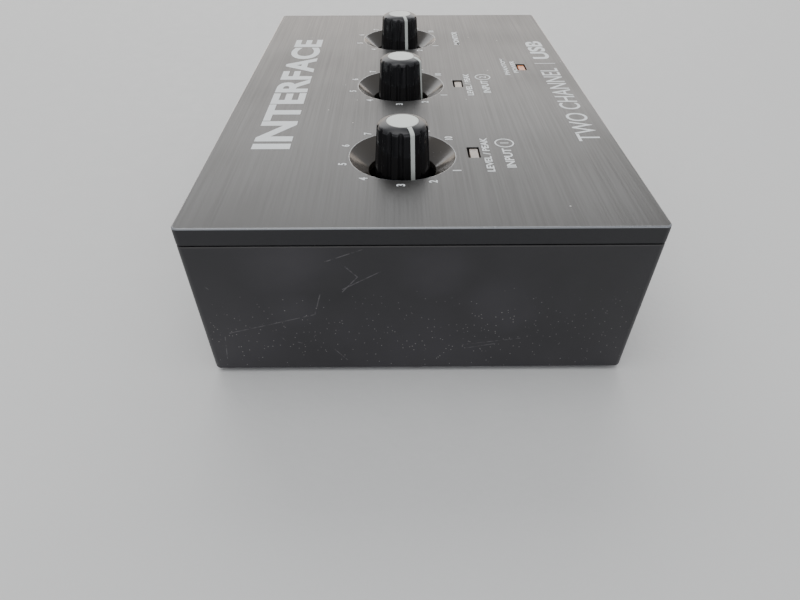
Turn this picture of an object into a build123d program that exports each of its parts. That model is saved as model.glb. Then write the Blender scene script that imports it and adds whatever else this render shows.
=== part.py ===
from build123d import *

import os
from math import atan, cos, degrees, radians, sin, tan

# Two-channel USB audio interface: a drafted plastic box with three dials on top and sockets front and rear.
#
# Row frame, millimetres: +X to the user's right, +Y to the rear sockets, +Z up, z = 0 on the desk.
# The parts are drawn about the enclosure's own centre line, and one move at the end puts the middle of the
# whole footprint, sockets and button included, at x = y = 0.

OVER = 1.0  # how far a cut runs past the face that it opens
SINK = 0.2  # how far joined solids reach into each other

# ---------------------------------------------------------------- enclosure
WIDTH = 172.0  # at the top edge, the widest place
DEPTH = 110.0
TOP_Z = 46.0
FOOT_PROUD = 1.2
UNDER_Z = FOOT_PROUD  # underside of the base shell
DRAFT = 1.15  # degrees, all four walls lean in towards the desk
CORNER_R = 1.6
INNER_CORNER_R = 1.2
WALL = 2.4
LID_T = 2.4
FLOOR_T = 2.2
TOP_EDGE_R = 0.35
BOTTOM_EDGE_R = 0.6

SEAM_Z = TOP_Z - 4.7  # middle of the shadow gap between cover and base
SEAM_GAP = 0.35
LIP_H = 2.0
LIP_T = 1.0
LIP_CLEAR = 0.1

POST_X, POST_Y = 77.0, 46.0
POST_R = 4.0
POST_GAP = 0.1  # between a boss and the post below it
BOSS_R = 3.5
BOSS_END_Z = 10.0  # where the cover's long bosses meet the base's short posts
SCREW_R = 1.4
SCREW_HEAD_R = 2.8
SCREW_HEAD_H = 1.8
SCREW_SEAT_H = 3.0  # depth of the recess that hides each head
SCREW_PASS = 0.25
SCREW_LENGTH = 12.0
PILOT_CLEAR = 0.05
CROSS_W, CROSS_DEPTH, CROSS_SHARE = 0.8, 1.0, 0.6  # the driver cross, its reach as a share of the head

FOOT_X, FOOT_Y = 62.0, 41.0
FOOT_R = 6.0
FOOT_SUNK = 0.8
FOOT_EDGE_R = 0.5
FOOT_CLEAR = 0.1

# ---------------------------------------------------------------- dials
DIAL_PITCH = 50.8
DIAL_Y = 3.9
DIAL_X = [-DIAL_PITCH, 0.0, DIAL_PITCH]
POINTER_REST = [248.5, 200.0, 248.5]  # degrees clockwise from +Y, the middle one against its stop

DISH_RIM_R = 14.0
DISH_LOW_R = 9.0  # also the opening round the knob
DISH_DEPTH = 4.2
DISH_T = 1.6
DISH_LOW_Z = TOP_Z - DISH_DEPTH
DISH_LOW_WALL = 1.0  # of the well at its foot, measured outwards
DISH_SPREAD = (DISH_RIM_R - DISH_LOW_R) / DISH_DEPTH

KNOB_BASE_Z = DISH_LOW_Z - 0.6
KNOB_TOP_Z = TOP_Z + 9.35
KNOB_BASE_R = 7.4
KNOB_SHOULDER_R = 6.6
KNOB_SHOULDER_DROP = 1.5
KNOB_FACE_R = 4.4
KNOB_FACE_SLOPE = 0.3  # fall of the shoulder where it leaves the flat face
KNOB_HOLLOW_R = 5.8
KNOB_HUB_R = 4.2
KNOB_HOLLOW_H = 7.0
KNOB_BORE_TOP_Z = KNOB_TOP_Z - 2.6
KNOB_LEAN = (KNOB_BASE_R - KNOB_SHOULDER_R) / (KNOB_TOP_Z - KNOB_SHOULDER_DROP - KNOB_BASE_Z)
GRIP_COUNT = 14  # one place of the fourteen carries the pointer
GRIP_R = 0.85
GRIP_AXIS_OUT = 0.35  # groove centre line outside the knob's wall
GRIP_TOP_DROP = 0.9
MARK_DISC_R = 4.1
MARK_WIDTH = 1.35
MARK_T = 0.6
MARK_PROUD = 0.12

SHAFT_R = 3.0
SHAFT_FLAT = 1.5  # from the axis to the flat of the D
SHAFT_CLEAR = 0.05
SHAFT_FOOT_UP = 1.6  # above the control board
SHAFT_END_GAP = 0.4
WIPER_R, WIPER_T = 3.8, 1.2
WIPER_CLEAR = 0.3

# ---------------------------------------------------------------- boards
BOARD_T = 1.6
MAIN_Z = 7.7
MAIN_TOP = MAIN_Z + BOARD_T
MAIN_W, MAIN_D = 142.0, 101.0
STANDOFF_X, STANDOFF_Y = 64.0, 20.0
STANDOFF_R = 3.2
BOARD_CORNER_R = 2.0
BOARD_SCREW_R = 1.2
BOARD_SCREW_HEAD_R = 2.4
BOARD_SCREW_HEAD_H = 1.5
BOARD_HOLE_CLEAR = 0.3
MAIN_SCREW_L, CONTROL_SCREW_L = 5.1, 7.1

POT_W, POT_D, POT_H = 9.6, 11.0, 6.8
POT_COLLAR_R = 4.2
POT_COLLAR_H = 1.2
POT_EDGE_R = 0.8
POT_GAP = 0.4  # between a collar and the well above it
CONTROL_TOP = DISH_LOW_Z - DISH_T - POT_COLLAR_H - POT_GAP - POT_H
CONTROL_Z = CONTROL_TOP - BOARD_T
CONTROL_X = 74.0
CONTROL_Y0, CONTROL_Y1 = -20.0, 18.0
CONTROL_BOSSES = [(26.0, 13.0), (-26.0, 13.0), (26.0, -9.0), (-26.0, -9.0), (70.0, -4.0), (-70.0, -4.0)]
CONTROL_BOSS_R = 2.8
CONTROL_PILOT_L = 7.0
TONGUE_HALF_X, TONGUE_PAST_Y = 8.0, 4.5  # the board's tongue under the phantom-power light

CHIP_T = 1.4
CHIPS = [(-38, 6, 10, 10), (6, 10, 9, 9), (-52, -14, 5, 6), (-36, -14, 5, 6), (30, -22, 5, 6), (48, 0, 6, 6)]
LARGE_CAN_R, SMALL_CAN_R = 4.0, 3.15
LARGE_CANS = [(-54, 26), (20, 4)]
SMALL_CANS = [(-43, 28), (-10, -8), (-2, -14), (8, -6), (60, -12)]
CAN_SLENDER = 2.3
CAN_EDGE_R = 0.5

# ---------------------------------------------------------------- indicators
LED_L, LED_W, LED_H = 5.8, 2.3, 7.0
LED_SUNK = 0.35
LED_EDGE_R = 0.15
WINDOW_L, WINDOW_W = 6.1, 3.2
WINDOW_SHIFT_Y = 0.2  # the lenses stand off-centre in their windows
SIGNAL_LED_X, SIGNAL_LED_Y = 1.2, -15.2  # X is counted from the dial's axis
PHANTOM_LED = (17.2, -38.9)
LED_SPOTS = [(DIAL_X[0] + SIGNAL_LED_X, SIGNAL_LED_Y), (DIAL_X[1] + SIGNAL_LED_X, SIGNAL_LED_Y), PHANTOM_LED]
LEAD_R = 0.3
LEAD_PITCH = 2.0

# ---------------------------------------------------------------- front sockets and switches
JACK_Z = MAIN_TOP + 12.9
BODY_GAP = 0.9  # between the wall and the socket bodies behind it
HOLE_CLEAR = 0.2
BORE_END = 2.0  # left closed behind each plug bore
NOSE_EDGE_R = 0.4
COMBO_X = -56.0
COMBO_SIDE, COMBO_BACK = 26.0, 26.0
COMBO_NOSE_R = 12.0
COMBO_CHAMFER = 0.5
COMBO_BORE_R = 3.2
XLR_CORE_R, XLR_RING_R = 7.7, 9.7
XLR_RING_DEPTH = 13.0
XLR_PIN_CIRCLE_R = 5.4
XLR_HOLE_R, XLR_CONTACT_R = 1.5, 1.22
XLR_HOLE_DEPTH = 13.0
XLR_CONTACT_SUNK = 0.8
SEAT_CLEAR = 0.02  # of a sleeve or tube in its seat
XLR_KEY_W, XLR_KEY_H = 3.2, 1.6

JACK_X = -24.0
JACK_W, JACK_BACK = 17.0, 28.0
JACK_NOSE_R = 5.8
JACK_NOSE_PROUD = 0.4
JACK_BORE_R = 3.2
FERRULE_R = 4.6
FERRULE_L = 9.0
FERRULE_PROUD = 0.7

PHONES_X = 62.0
PHONES_W, PHONES_BACK = 11.0, 15.0
PHONES_NOSE_R = 4.0
PHONES_PROUD = 0.3
PHONES_BORE_R = 1.8
PHONES_BORE_DEPTH = 14.0

SLIDER_X = [-2.0, 38.0]
SLIDER_TRAVEL = 3.0
SLIDER_W, SLIDER_H = 3.0, 2.4
SLIDER_PROUD = 1.6
SLOT_W, SLOT_H = 7.2, 3.2
SWITCH_W, SWITCH_H, SWITCH_BACK = 12.0, 6.6, 6.5
SWITCH_GAP = 1.2
CHANNEL_H, CHANNEL_DEPTH = 3.8, 3.2
RUNNER_OUT, RUNNER_H, RUNNER_T = 1.0, 3.2, 2.6  # the wider foot that keeps a slider in
RUNNER_CLEAR = 0.3

BUTTON_X = PHANTOM_LED[0]
BUTTON_R = 3.2
BUTTON_HOLE_R = 3.6
BUTTON_PROUD = 3.0
BUTTON_BODY_W, BUTTON_BODY_BACK = 8.4, 13.0
BUTTON_BODY_IN = 8.0  # behind the wall's outer face
BUTTON_SKIRT = 4.5
BUTTON_EDGE_R = 0.6
PLUNGER_R, PLUNGER_L, PLUNGER_HOLE_R = 1.5, 14.0, 1.8

# ---------------------------------------------------------------- rear sockets
USB_X = 54.0
USB_W, USB_H, USB_BACK = 12.0, 10.9, 16.0
USB_SHELL_T = 0.5
SOLDER_GAP = 0.1
USB_CHAMFER, USB_INNER_CHAMFER = 2.6, 2.34
USB_Z = MAIN_TOP + USB_H / 2 + SOLDER_GAP
USB_PROUD = 0.2
USB_LINING_SUNK = 0.5
USB_LINING_CLEAR = 0.1
MOUTH_W, MOUTH_H, MOUTH_CHAMFER = 8.6, 8.0, 1.6
MOUTH_END = 3.0
TONGUE_W, TONGUE_H, TONGUE_SUNK = 5.6, 3.2, 1.2

RCA_X = [-26.0, -12.0]
RCA_Z = MAIN_TOP + 8.5
RCA_BARREL_R, RCA_BARREL_IN_R = 4.15, 3.3
RCA_ROOT_R = 3.7  # of the barrel's part behind the wall's outer face
RCA_PROUD = 9.0
RCA_PIN_R = 1.65
RCA_HOLE_R = 4.6
RCA_BACK = 9.5
RCA_FILL_SUNK = 0.8
RCA_ROOT_L = 3.9  # of root inside the moulding
RCA_EDGE_R = 0.2
RCA_BODY_SIDE, RCA_BODY_UP = 7.0, 6.5
RCA_PIN_DEPTH = 10.0

LOCK_X, LOCK_Z = -66.0, 24.0
LOCK_W, LOCK_H, LOCK_CORNER_R = 7.0, 3.2, 1.0

# ---------------------------------------------------------------- board link
LINK_X = 38.0
LINK_W, LINK_T = 12.7, 0.9
LINK_TOP_Y, LINK_LOW_Y = 8.0, 20.0
PLUG_W, PLUG_D, PLUG_H = 15.5, 5.5, 6.0
LINK_BEND_R = 1.6


def wall_inset(z):
    """How far the drafted outer wall has come in from the top edge at height z."""
    return tan(radians(DRAFT)) * (TOP_Z - z)


def front_y(z):
    return -DEPTH / 2 + wall_inset(z)


def rear_y(z):
    return DEPTH / 2 - wall_inset(z)


ENCLOSURE_Y = (BUTTON_PROUD - wall_inset(JACK_Z) - RCA_PROUD + wall_inset(RCA_Z)) / 2


def block(x0, x1, y0, y1, z0, z1):
    """A box given by its limits."""
    return Pos((x0 + x1) / 2, (y0 + y1) / 2, (z0 + z1) / 2) * Box(x1 - x0, y1 - y0, z1 - z0)


def post(radius, x, y, z0, z1):
    """A round bar along Z."""
    return Pos(x, y, (z0 + z1) / 2) * Cylinder(radius, z1 - z0)


def rod(radius, x, z, y0, y1):
    """A round bar along Y."""
    return Pos(x, (y0 + y1) / 2, z) * Rot(90, 0, 0) * Cylinder(radius, y1 - y0)


def four(x, y):
    return [(sx * x, sy * y) for sx in (-1, 1) for sy in (-1, 1)]


def drafted(inset, z_top, z_low):
    """The enclosure's drafted outline, set in by inset, between two heights."""
    step = wall_inset(z_top) + inset
    outline = RectangleRounded(WIDTH - 2 * step, DEPTH - 2 * step, max(CORNER_R - inset, INNER_CORNER_R))
    return extrude(Pos(0, 0, z_top) * outline, amount=-(z_top - z_low), taper=DRAFT)


def cross_slot(x, y, z0, z1, size):
    """The cross recess of a screw head."""
    half = CROSS_W / 2
    along = block(x - size, x + size, y - half, y + half, z0, z1)
    return along + block(x - half, x + half, y - size, y + size, z0, z1)


def screw(x, y, head_z, shank_r, head_r, head_h, length, up):
    """A pan-head screw. Its head seats at head_z, and its shank points up or down."""
    sign = 1 if up else -1
    ends = sorted((head_z, head_z - sign * head_h))
    tip = head_z + sign * length
    body = post(head_r, x, y, *ends) + post(shank_r, x, y, *sorted((head_z, tip)))
    crown = head_z - sign * head_h
    return body - cross_slot(x, y, *sorted((crown, crown + sign * CROSS_DEPTH)), head_r * CROSS_SHARE)


# ---------------------------------------------------------------- casings
def top_cover():
    """The cover with its three dished dial wells, indicator windows, long screw bosses and board bosses."""
    low = SEAM_Z + SEAM_GAP / 2
    skin = drafted(0, TOP_Z, low)
    skin = fillet(skin.faces().sort_by(Axis.Z)[-1].edges(), TOP_EDGE_R)
    cavity = drafted(WALL, TOP_Z - LID_T, low - OVER)
    rebate = drafted(WALL - LIP_T - LIP_CLEAR, SEAM_Z + LIP_H + 2 * LIP_CLEAR, low - OVER)
    cover = skin - cavity - rebate
    lid_under = TOP_Z - LID_T
    for x in DIAL_X:
        well_z = DISH_LOW_Z - DISH_T
        well_h = lid_under + 3 * SINK - well_z
        well_r = DISH_LOW_R + DISH_LOW_WALL
        cover += Pos(x, DIAL_Y, well_z + well_h / 2) * Cone(well_r, well_r + DISH_SPREAD * well_h, well_h)
    for x in DIAL_X:
        dish = Pos(x, DIAL_Y, DISH_LOW_Z + DISH_DEPTH / 2) * Cone(DISH_LOW_R, DISH_RIM_R, DISH_DEPTH)
        cover -= dish
        cover -= post(DISH_LOW_R, x, DIAL_Y, DISH_LOW_Z - DISH_T - OVER, DISH_LOW_Z + SINK)
    window = Box(WINDOW_L, WINDOW_W, LID_T + 2 * OVER)
    for x, y in LED_SPOTS:
        cover -= Pos(x, y + WINDOW_SHIFT_Y, TOP_Z - LID_T / 2) * window
    for x, y in four(POST_X, POST_Y):
        cover += post(BOSS_R, x, y, BOSS_END_Z, lid_under + SINK)
        cover -= post(SCREW_R + PILOT_CLEAR, x, y, BOSS_END_Z - OVER, BOSS_END_Z + SCREW_LENGTH)
    for x, y in CONTROL_BOSSES:
        cover += post(CONTROL_BOSS_R, x, y, CONTROL_TOP, lid_under + SINK)
        cover -= post(BOARD_SCREW_R + PILOT_CLEAR, x, y, CONTROL_TOP - OVER, CONTROL_TOP + CONTROL_PILOT_L)
    return cover


def base_shell():
    """The open-topped base with its lip, posts, socket openings and the recesses for feet and screws."""
    high = SEAM_Z - SEAM_GAP / 2
    skin = drafted(0, high, UNDER_Z)
    skin = fillet(skin.faces().sort_by(Axis.Z)[0].edges(), BOTTOM_EDGE_R)
    lip = drafted(WALL - LIP_T, SEAM_Z + LIP_H, high - OVER)
    cavity = drafted(WALL, SEAM_Z + LIP_H + OVER, UNDER_Z + FLOOR_T)
    base = skin + lip - cavity
    floor = UNDER_Z + FLOOR_T
    for x, y in four(POST_X, POST_Y):
        base += post(POST_R, x, y, floor - SINK, BOSS_END_Z - POST_GAP)
    for x, y in four(STANDOFF_X, STANDOFF_Y):
        base += post(STANDOFF_R, x, y, floor - SINK, MAIN_Z)
        base -= post(BOARD_SCREW_R + PILOT_CLEAR, x, y, floor, MAIN_Z + OVER)
    for x, y in four(POST_X, POST_Y):
        base -= post(SCREW_HEAD_R + HOLE_CLEAR, x, y, UNDER_Z - OVER, UNDER_Z + SCREW_SEAT_H)
        base -= post(SCREW_R + SCREW_PASS, x, y, UNDER_Z, BOSS_END_Z + OVER)
    for x, y in four(FOOT_X, FOOT_Y):
        base -= post(FOOT_R + FOOT_CLEAR, x, y, UNDER_Z - OVER, UNDER_Z + FOOT_SUNK)
    front0, front1 = -DEPTH / 2 - OVER, front_y(JACK_Z) + WALL + OVER
    for radius, x in (
        (COMBO_NOSE_R + HOLE_CLEAR, COMBO_X),
        (JACK_NOSE_R + HOLE_CLEAR, JACK_X),
        (BUTTON_HOLE_R, BUTTON_X),
        (PHONES_NOSE_R + HOLE_CLEAR, PHONES_X),
    ):
        base -= rod(radius, x, JACK_Z, front0, front1)
    low, high = JACK_Z - SLOT_H / 2, JACK_Z + SLOT_H / 2
    for x in SLIDER_X:
        base -= block(x - SLOT_W / 2, x + SLOT_W / 2, front0, front1, low, high)
    rear0, rear1 = rear_y(RCA_Z) - WALL - OVER, DEPTH / 2 + OVER
    for x in RCA_X:
        base -= rod(RCA_HOLE_R, x, RCA_Z, rear0, rear1)
    half_w, half_h = USB_W / 2 + HOLE_CLEAR, USB_H / 2 + HOLE_CLEAR
    base -= block(USB_X - half_w, USB_X + half_w, rear0, rear1, USB_Z - half_h, USB_Z + half_h)
    lock = extrude(Plane.XZ * RectangleRounded(LOCK_W, LOCK_H, LOCK_CORNER_R), amount=2 * WALL, both=True)
    base -= Pos(LOCK_X, DEPTH / 2, LOCK_Z) * lock
    return base


def rubber_feet():
    """Four round feet, sunk into the base's recesses."""
    foot = Cylinder(FOOT_R, FOOT_PROUD + FOOT_SUNK, align=(Align.CENTER, Align.CENTER, Align.MIN))
    foot = fillet(foot.edges().sort_by(Axis.Z)[0], FOOT_EDGE_R)
    return [Pos(x, y, 0) * foot for x, y in four(FOOT_X, FOOT_Y)]


def cover_screws():
    """The four screws that come up from below into the cover's bosses."""
    size = (SCREW_R, SCREW_HEAD_R, SCREW_HEAD_H, SCREW_LENGTH)
    return [screw(x, y, UNDER_Z + SCREW_SEAT_H, *size, up=True) for x, y in four(POST_X, POST_Y)]


# ---------------------------------------------------------------- dials
def knob_profile(grow):
    """The knob's turned outline, grown by grow, as a solid about Z at the origin's XY."""
    top = KNOB_TOP_Z + min(grow, 0.0)
    points = [
        (0, KNOB_BASE_Z),
        (KNOB_BASE_R + grow, KNOB_BASE_Z),
        (KNOB_SHOULDER_R + grow, top - KNOB_SHOULDER_DROP),
    ]
    shoulder = Spline(
        [(KNOB_SHOULDER_R + grow, top - KNOB_SHOULDER_DROP), (KNOB_FACE_R + grow, top)],
        tangents=[(-0.1, 1.0), (-1.0, KNOB_FACE_SLOPE)],
    )
    outline = Polyline(points) + shoulder + Polyline([(KNOB_FACE_R + grow, top), (0, top), (0, KNOB_BASE_Z)])
    return revolve(Plane.XZ * make_face(outline.edges()), Axis.Z)


def pointer_blade():
    """A radial slab along +Y, as wide as the pointer."""
    return block(-MARK_WIDTH / 2, MARK_WIDTH / 2, 0, KNOB_BASE_R + OVER, KNOB_BASE_Z, KNOB_TOP_Z + OVER)


def turned(shape, index):
    """A dial's part, pointer along +Y, turned clockwise to its rest angle and set on its axis."""
    return Pos(DIAL_X[index], DIAL_Y, 0) * Rot(0, 0, -POINTER_REST[index]) * shape


def knob_marker():
    """The white insert: a disc on the knob's face and a line that runs down its side."""
    line = (pointer_blade() & knob_profile(MARK_PROUD)) - knob_profile(-MARK_T)
    disc = post(MARK_DISC_R, 0, 0, KNOB_TOP_Z - MARK_T, KNOB_TOP_Z)
    return line + disc


def knob_body(marker):
    """The grooved grip with its hollow skirt and the D-shaped bore."""
    body = knob_profile(0)
    groove_top = KNOB_TOP_Z - GRIP_TOP_DROP
    length = groove_top - KNOB_BASE_Z + 2 * OVER
    top_r = KNOB_SHOULDER_R + GRIP_AXIS_OUT + KNOB_LEAN * (GRIP_TOP_DROP - KNOB_SHOULDER_DROP)
    bar = Pos(0, 0, -length / 2) * Cylinder(GRIP_R, length) + Sphere(GRIP_R)
    groove = Pos(top_r, 0, groove_top) * Rot(0, -degrees(atan(KNOB_LEAN)), 0) * bar
    for i in range(1, GRIP_COUNT):
        body -= Rot(0, 0, 90 + 360 / GRIP_COUNT * i) * groove
    hollow = post(KNOB_HOLLOW_R, 0, 0, KNOB_BASE_Z - OVER, KNOB_BASE_Z + KNOB_HOLLOW_H)
    hub = post(KNOB_HUB_R, 0, 0, KNOB_BASE_Z, KNOB_BASE_Z + KNOB_HOLLOW_H + SINK)
    bore = post(SHAFT_R + SHAFT_CLEAR, 0, 0, KNOB_BASE_Z - OVER, KNOB_BORE_TOP_Z)
    flat_y = -(SHAFT_FLAT + SHAFT_CLEAR)
    flat = block(-KNOB_HUB_R, KNOB_HUB_R, -KNOB_HUB_R, flat_y, KNOB_BASE_Z + 3 * OVER / 2, KNOB_BORE_TOP_Z)
    return (body - hollow + hub) - (bore - flat) - marker


def pot_shaft():
    """The D-shaped shaft, with the wiper disc at its foot."""
    foot_z = CONTROL_TOP + SHAFT_FOOT_UP
    shaft = post(SHAFT_R, 0, 0, foot_z, KNOB_BORE_TOP_Z - SHAFT_END_GAP)
    shaft -= block(-SHAFT_R, SHAFT_R, -SHAFT_R, -SHAFT_FLAT, KNOB_BASE_Z + OVER, KNOB_TOP_Z)
    return shaft + post(WIPER_R, 0, 0, foot_z, foot_z + WIPER_T)


def pot_housing(x):
    """The potentiometer's case, soldered to the control board, with the collar that guides the shaft."""
    half_w, half_d = POT_W / 2, POT_D / 2
    top = CONTROL_TOP + POT_H
    case = block(-half_w, half_w, -half_d, half_d, CONTROL_TOP, top)
    case = fillet(case.edges().filter_by(Axis.Z), POT_EDGE_R)
    case += post(POT_COLLAR_R, 0, 0, top - SINK, top + POT_COLLAR_H)
    low = CONTROL_TOP + SHAFT_FOOT_UP - WIPER_CLEAR
    case -= post(SHAFT_R + SHAFT_CLEAR, 0, 0, low, top + POT_COLLAR_H + OVER)
    case -= post(WIPER_R + WIPER_CLEAR, 0, 0, low, low + WIPER_T + 2 * WIPER_CLEAR)
    return Pos(x, DIAL_Y, 0) * case


# ---------------------------------------------------------------- boards
def main_board():
    board = block(-MAIN_W / 2, MAIN_W / 2, -MAIN_D / 2, MAIN_D / 2, MAIN_Z, MAIN_TOP)
    board = fillet(board.edges().filter_by(Axis.Z), BOARD_CORNER_R)
    for x, y in four(STANDOFF_X, STANDOFF_Y):
        board -= post(BOARD_SCREW_R + BOARD_HOLE_CLEAR, x, y, MAIN_Z - OVER, MAIN_TOP + OVER)
    return board


def control_board():
    """The dial board under the cover, with a tongue that carries the phantom-power indicator."""
    board = block(-CONTROL_X, CONTROL_X, CONTROL_Y0, CONTROL_Y1, CONTROL_Z, CONTROL_TOP)
    x, y = PHANTOM_LED
    left, right = x - TONGUE_HALF_X, x + TONGUE_HALF_X
    board += block(left, right, y - TONGUE_PAST_Y, CONTROL_Y0 + SINK, CONTROL_Z, CONTROL_TOP)
    for bx, by in CONTROL_BOSSES:
        board -= post(BOARD_SCREW_R + BOARD_HOLE_CLEAR, bx, by, CONTROL_Z - OVER, CONTROL_TOP + OVER)
    return board


def board_screws():
    """Screws that hold the main board down to the base."""
    size = (BOARD_SCREW_R, BOARD_SCREW_HEAD_R, BOARD_SCREW_HEAD_H, MAIN_SCREW_L)
    return [screw(x, y, MAIN_TOP, *size, up=False) for x, y in four(STANDOFF_X, STANDOFF_Y)]


def control_screws():
    """Screws that hold the control board up to the cover."""
    size = (BOARD_SCREW_R, BOARD_SCREW_HEAD_R, BOARD_SCREW_HEAD_H, CONTROL_SCREW_L)
    return [screw(x, y, CONTROL_Z, *size, up=True) for x, y in CONTROL_BOSSES]


def circuit_chips():
    """The converter, the USB bridge and the amplifier packages on the main board."""
    return [Pos(x, y, MAIN_TOP + CHIP_T / 2) * Box(width, depth, CHIP_T) for x, y, width, depth in CHIPS]


def capacitors():
    """Electrolytic cans standing on the main board."""
    made = []
    for radius, spots in ((LARGE_CAN_R, LARGE_CANS), (SMALL_CAN_R, SMALL_CANS)):
        for x, y in spots:
            can = post(radius, x, y, MAIN_TOP, MAIN_TOP + CAN_SLENDER * radius)
            made.append(fillet(can.edges().sort_by(Axis.Z)[-1], CAN_EDGE_R))
    return made


def board_plugs():
    """The two plugs of the ribbon that links the boards."""
    plug = Box(PLUG_W, PLUG_D, PLUG_H)
    places = ((LINK_LOW_Y, MAIN_TOP + PLUG_H / 2), (LINK_TOP_Y, CONTROL_Z - PLUG_H / 2))
    return [Pos(LINK_X, y, z) * plug for y, z in places]


def board_ribbon():
    """The flat ribbon between the boards, one S-bend from plug to plug."""
    low, high = MAIN_TOP + PLUG_H, CONTROL_Z - PLUG_H
    step = (high - low) / 4
    corners = [(LINK_LOW_Y, low), (LINK_LOW_Y, low + step), (LINK_TOP_Y, high - step), (LINK_TOP_Y, high)]
    route = FilletPolyline(*corners, radius=LINK_BEND_R)
    strip = Plane.YZ * trace(route, LINK_T)
    return Pos(LINK_X - LINK_W / 2, 0, 0) * extrude(strip, amount=LINK_W, dir=(1, 0, 0))


# ---------------------------------------------------------------- indicators
def led_lens(x, y):
    top = TOP_Z - LED_SUNK
    lens = Pos(x, y, top - LED_H / 2) * Box(LED_L, LED_W, LED_H)
    return fillet(lens.edges().group_by(Axis.Z)[-1], LED_EDGE_R)


def signal_lenses():
    return [led_lens(*spot) for spot in LED_SPOTS[:2]]


def led_leads():
    """Two wire leads from each indicator down to the control board."""
    low, high = CONTROL_TOP, TOP_Z - LED_SUNK - LED_H
    return [post(LEAD_R, x + s * LEAD_PITCH / 2, y, low, high) for x, y in LED_SPOTS for s in (-1, 1)]


# ---------------------------------------------------------------- front
def combo_housing():
    """The combination socket: three-pole microphone ring and pin holes around a quarter-inch jack bore."""
    face, wall = front_y(JACK_Z), front_y(JACK_Z) + WALL + BODY_GAP
    half = COMBO_SIDE / 2
    body = block(COMBO_X - half, COMBO_X + half, wall, wall + COMBO_BACK, MAIN_TOP, MAIN_TOP + COMBO_SIDE)
    nose = rod(COMBO_NOSE_R, COMBO_X, JACK_Z, face, wall + SINK)
    nose = chamfer(nose.edges().sort_by(Axis.Y)[0], COMBO_CHAMFER)
    ring = rod(XLR_RING_R, COMBO_X, JACK_Z, face - OVER, face + XLR_RING_DEPTH)
    ring -= rod(XLR_CORE_R, COMBO_X, JACK_Z, face - 2 * OVER, face + XLR_RING_DEPTH + OVER)
    left, right = COMBO_X - XLR_KEY_W / 2, COMBO_X + XLR_KEY_W / 2
    key_top = JACK_Z + XLR_CORE_R + SINK
    key = block(left, right, face - OVER, face + XLR_RING_DEPTH, key_top - SINK - XLR_KEY_H, key_top)
    socket = body + nose - ring - key
    socket -= rod(COMBO_BORE_R, COMBO_X, JACK_Z, face - OVER, wall + COMBO_BACK - BORE_END)
    for x, z in xlr_pins():
        socket -= rod(XLR_HOLE_R, x, z, face - OVER, face + XLR_HOLE_DEPTH)
    return socket


def xlr_pins():
    """Where the three pins go: left, right and below the middle."""
    return [
        (COMBO_X + XLR_PIN_CIRCLE_R * cos(radians(a)), JACK_Z + XLR_PIN_CIRCLE_R * sin(radians(a)))
        for a in (0, 180, 270)
    ]


def xlr_contacts():
    """Three sprung tubes lining the pin holes."""
    face = front_y(JACK_Z)
    made = []
    for x, z in xlr_pins():
        inner = face + XLR_HOLE_DEPTH
        tube = rod(XLR_HOLE_R - SEAT_CLEAR, x, z, face + XLR_CONTACT_SUNK, inner - SEAT_CLEAR)
        made.append(tube - rod(XLR_CONTACT_R, x, z, face, inner + OVER))
    return made


def jack_housing():
    """The quarter-inch instrument jack's housing."""
    face, wall = front_y(JACK_Z), front_y(JACK_Z) + WALL + BODY_GAP
    half = JACK_W / 2
    body = block(JACK_X - half, JACK_X + half, wall, wall + JACK_BACK, MAIN_TOP, JACK_Z + half)
    nose = rod(JACK_NOSE_R, JACK_X, JACK_Z, face - JACK_NOSE_PROUD, wall + SINK)
    nose = fillet(nose.edges().sort_by(Axis.Y)[0], NOSE_EDGE_R)
    housing = body + nose - rod(FERRULE_R, JACK_X, JACK_Z, face - OVER, face + FERRULE_L)
    return housing - rod(JACK_BORE_R, JACK_X, JACK_Z, face - OVER, wall + JACK_BACK - BORE_END)


def jack_ferrule():
    """The plated sleeve in the instrument jack's mouth."""
    face = front_y(JACK_Z)
    ring = rod(FERRULE_R - SEAT_CLEAR, JACK_X, JACK_Z, face - FERRULE_PROUD, face + FERRULE_L - SEAT_CLEAR)
    ring = fillet(ring.edges().sort_by(Axis.Y)[0], NOSE_EDGE_R)
    return ring - rod(JACK_BORE_R, JACK_X, JACK_Z, face - 2 * OVER, face + FERRULE_L + OVER)


def phones_jack():
    """The 3.5 mm headphone jack."""
    face, wall = front_y(JACK_Z), front_y(JACK_Z) + WALL + BODY_GAP
    half = PHONES_W / 2
    body = block(PHONES_X - half, PHONES_X + half, wall, wall + PHONES_BACK, MAIN_TOP, JACK_Z + half)
    nose = rod(PHONES_NOSE_R, PHONES_X, JACK_Z, face - PHONES_PROUD, wall + SINK)
    nose = fillet(nose.edges().sort_by(Axis.Y)[0], NOSE_EDGE_R)
    bore_end = face - PHONES_PROUD + PHONES_BORE_DEPTH
    return body + nose - rod(PHONES_BORE_R, PHONES_X, JACK_Z, face - OVER, bore_end)


def slide_switch(x):
    """A slide switch's frame on its pedestal, with the channel that the slider runs in."""
    front = front_y(JACK_Z) + WALL + SWITCH_GAP
    half_w, half_h = SWITCH_W / 2, SWITCH_H / 2
    frame = block(x - half_w, x + half_w, front, front + SWITCH_BACK, MAIN_TOP, JACK_Z + half_h)
    run = SLIDER_W + 2 * RUNNER_OUT + SLIDER_TRAVEL + 2 * RUNNER_CLEAR
    low, high = JACK_Z - CHANNEL_H / 2, JACK_Z + CHANNEL_H / 2
    return frame - block(x - run / 2, x + run / 2, front - OVER, front + CHANNEL_DEPTH, low, high)


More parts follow.
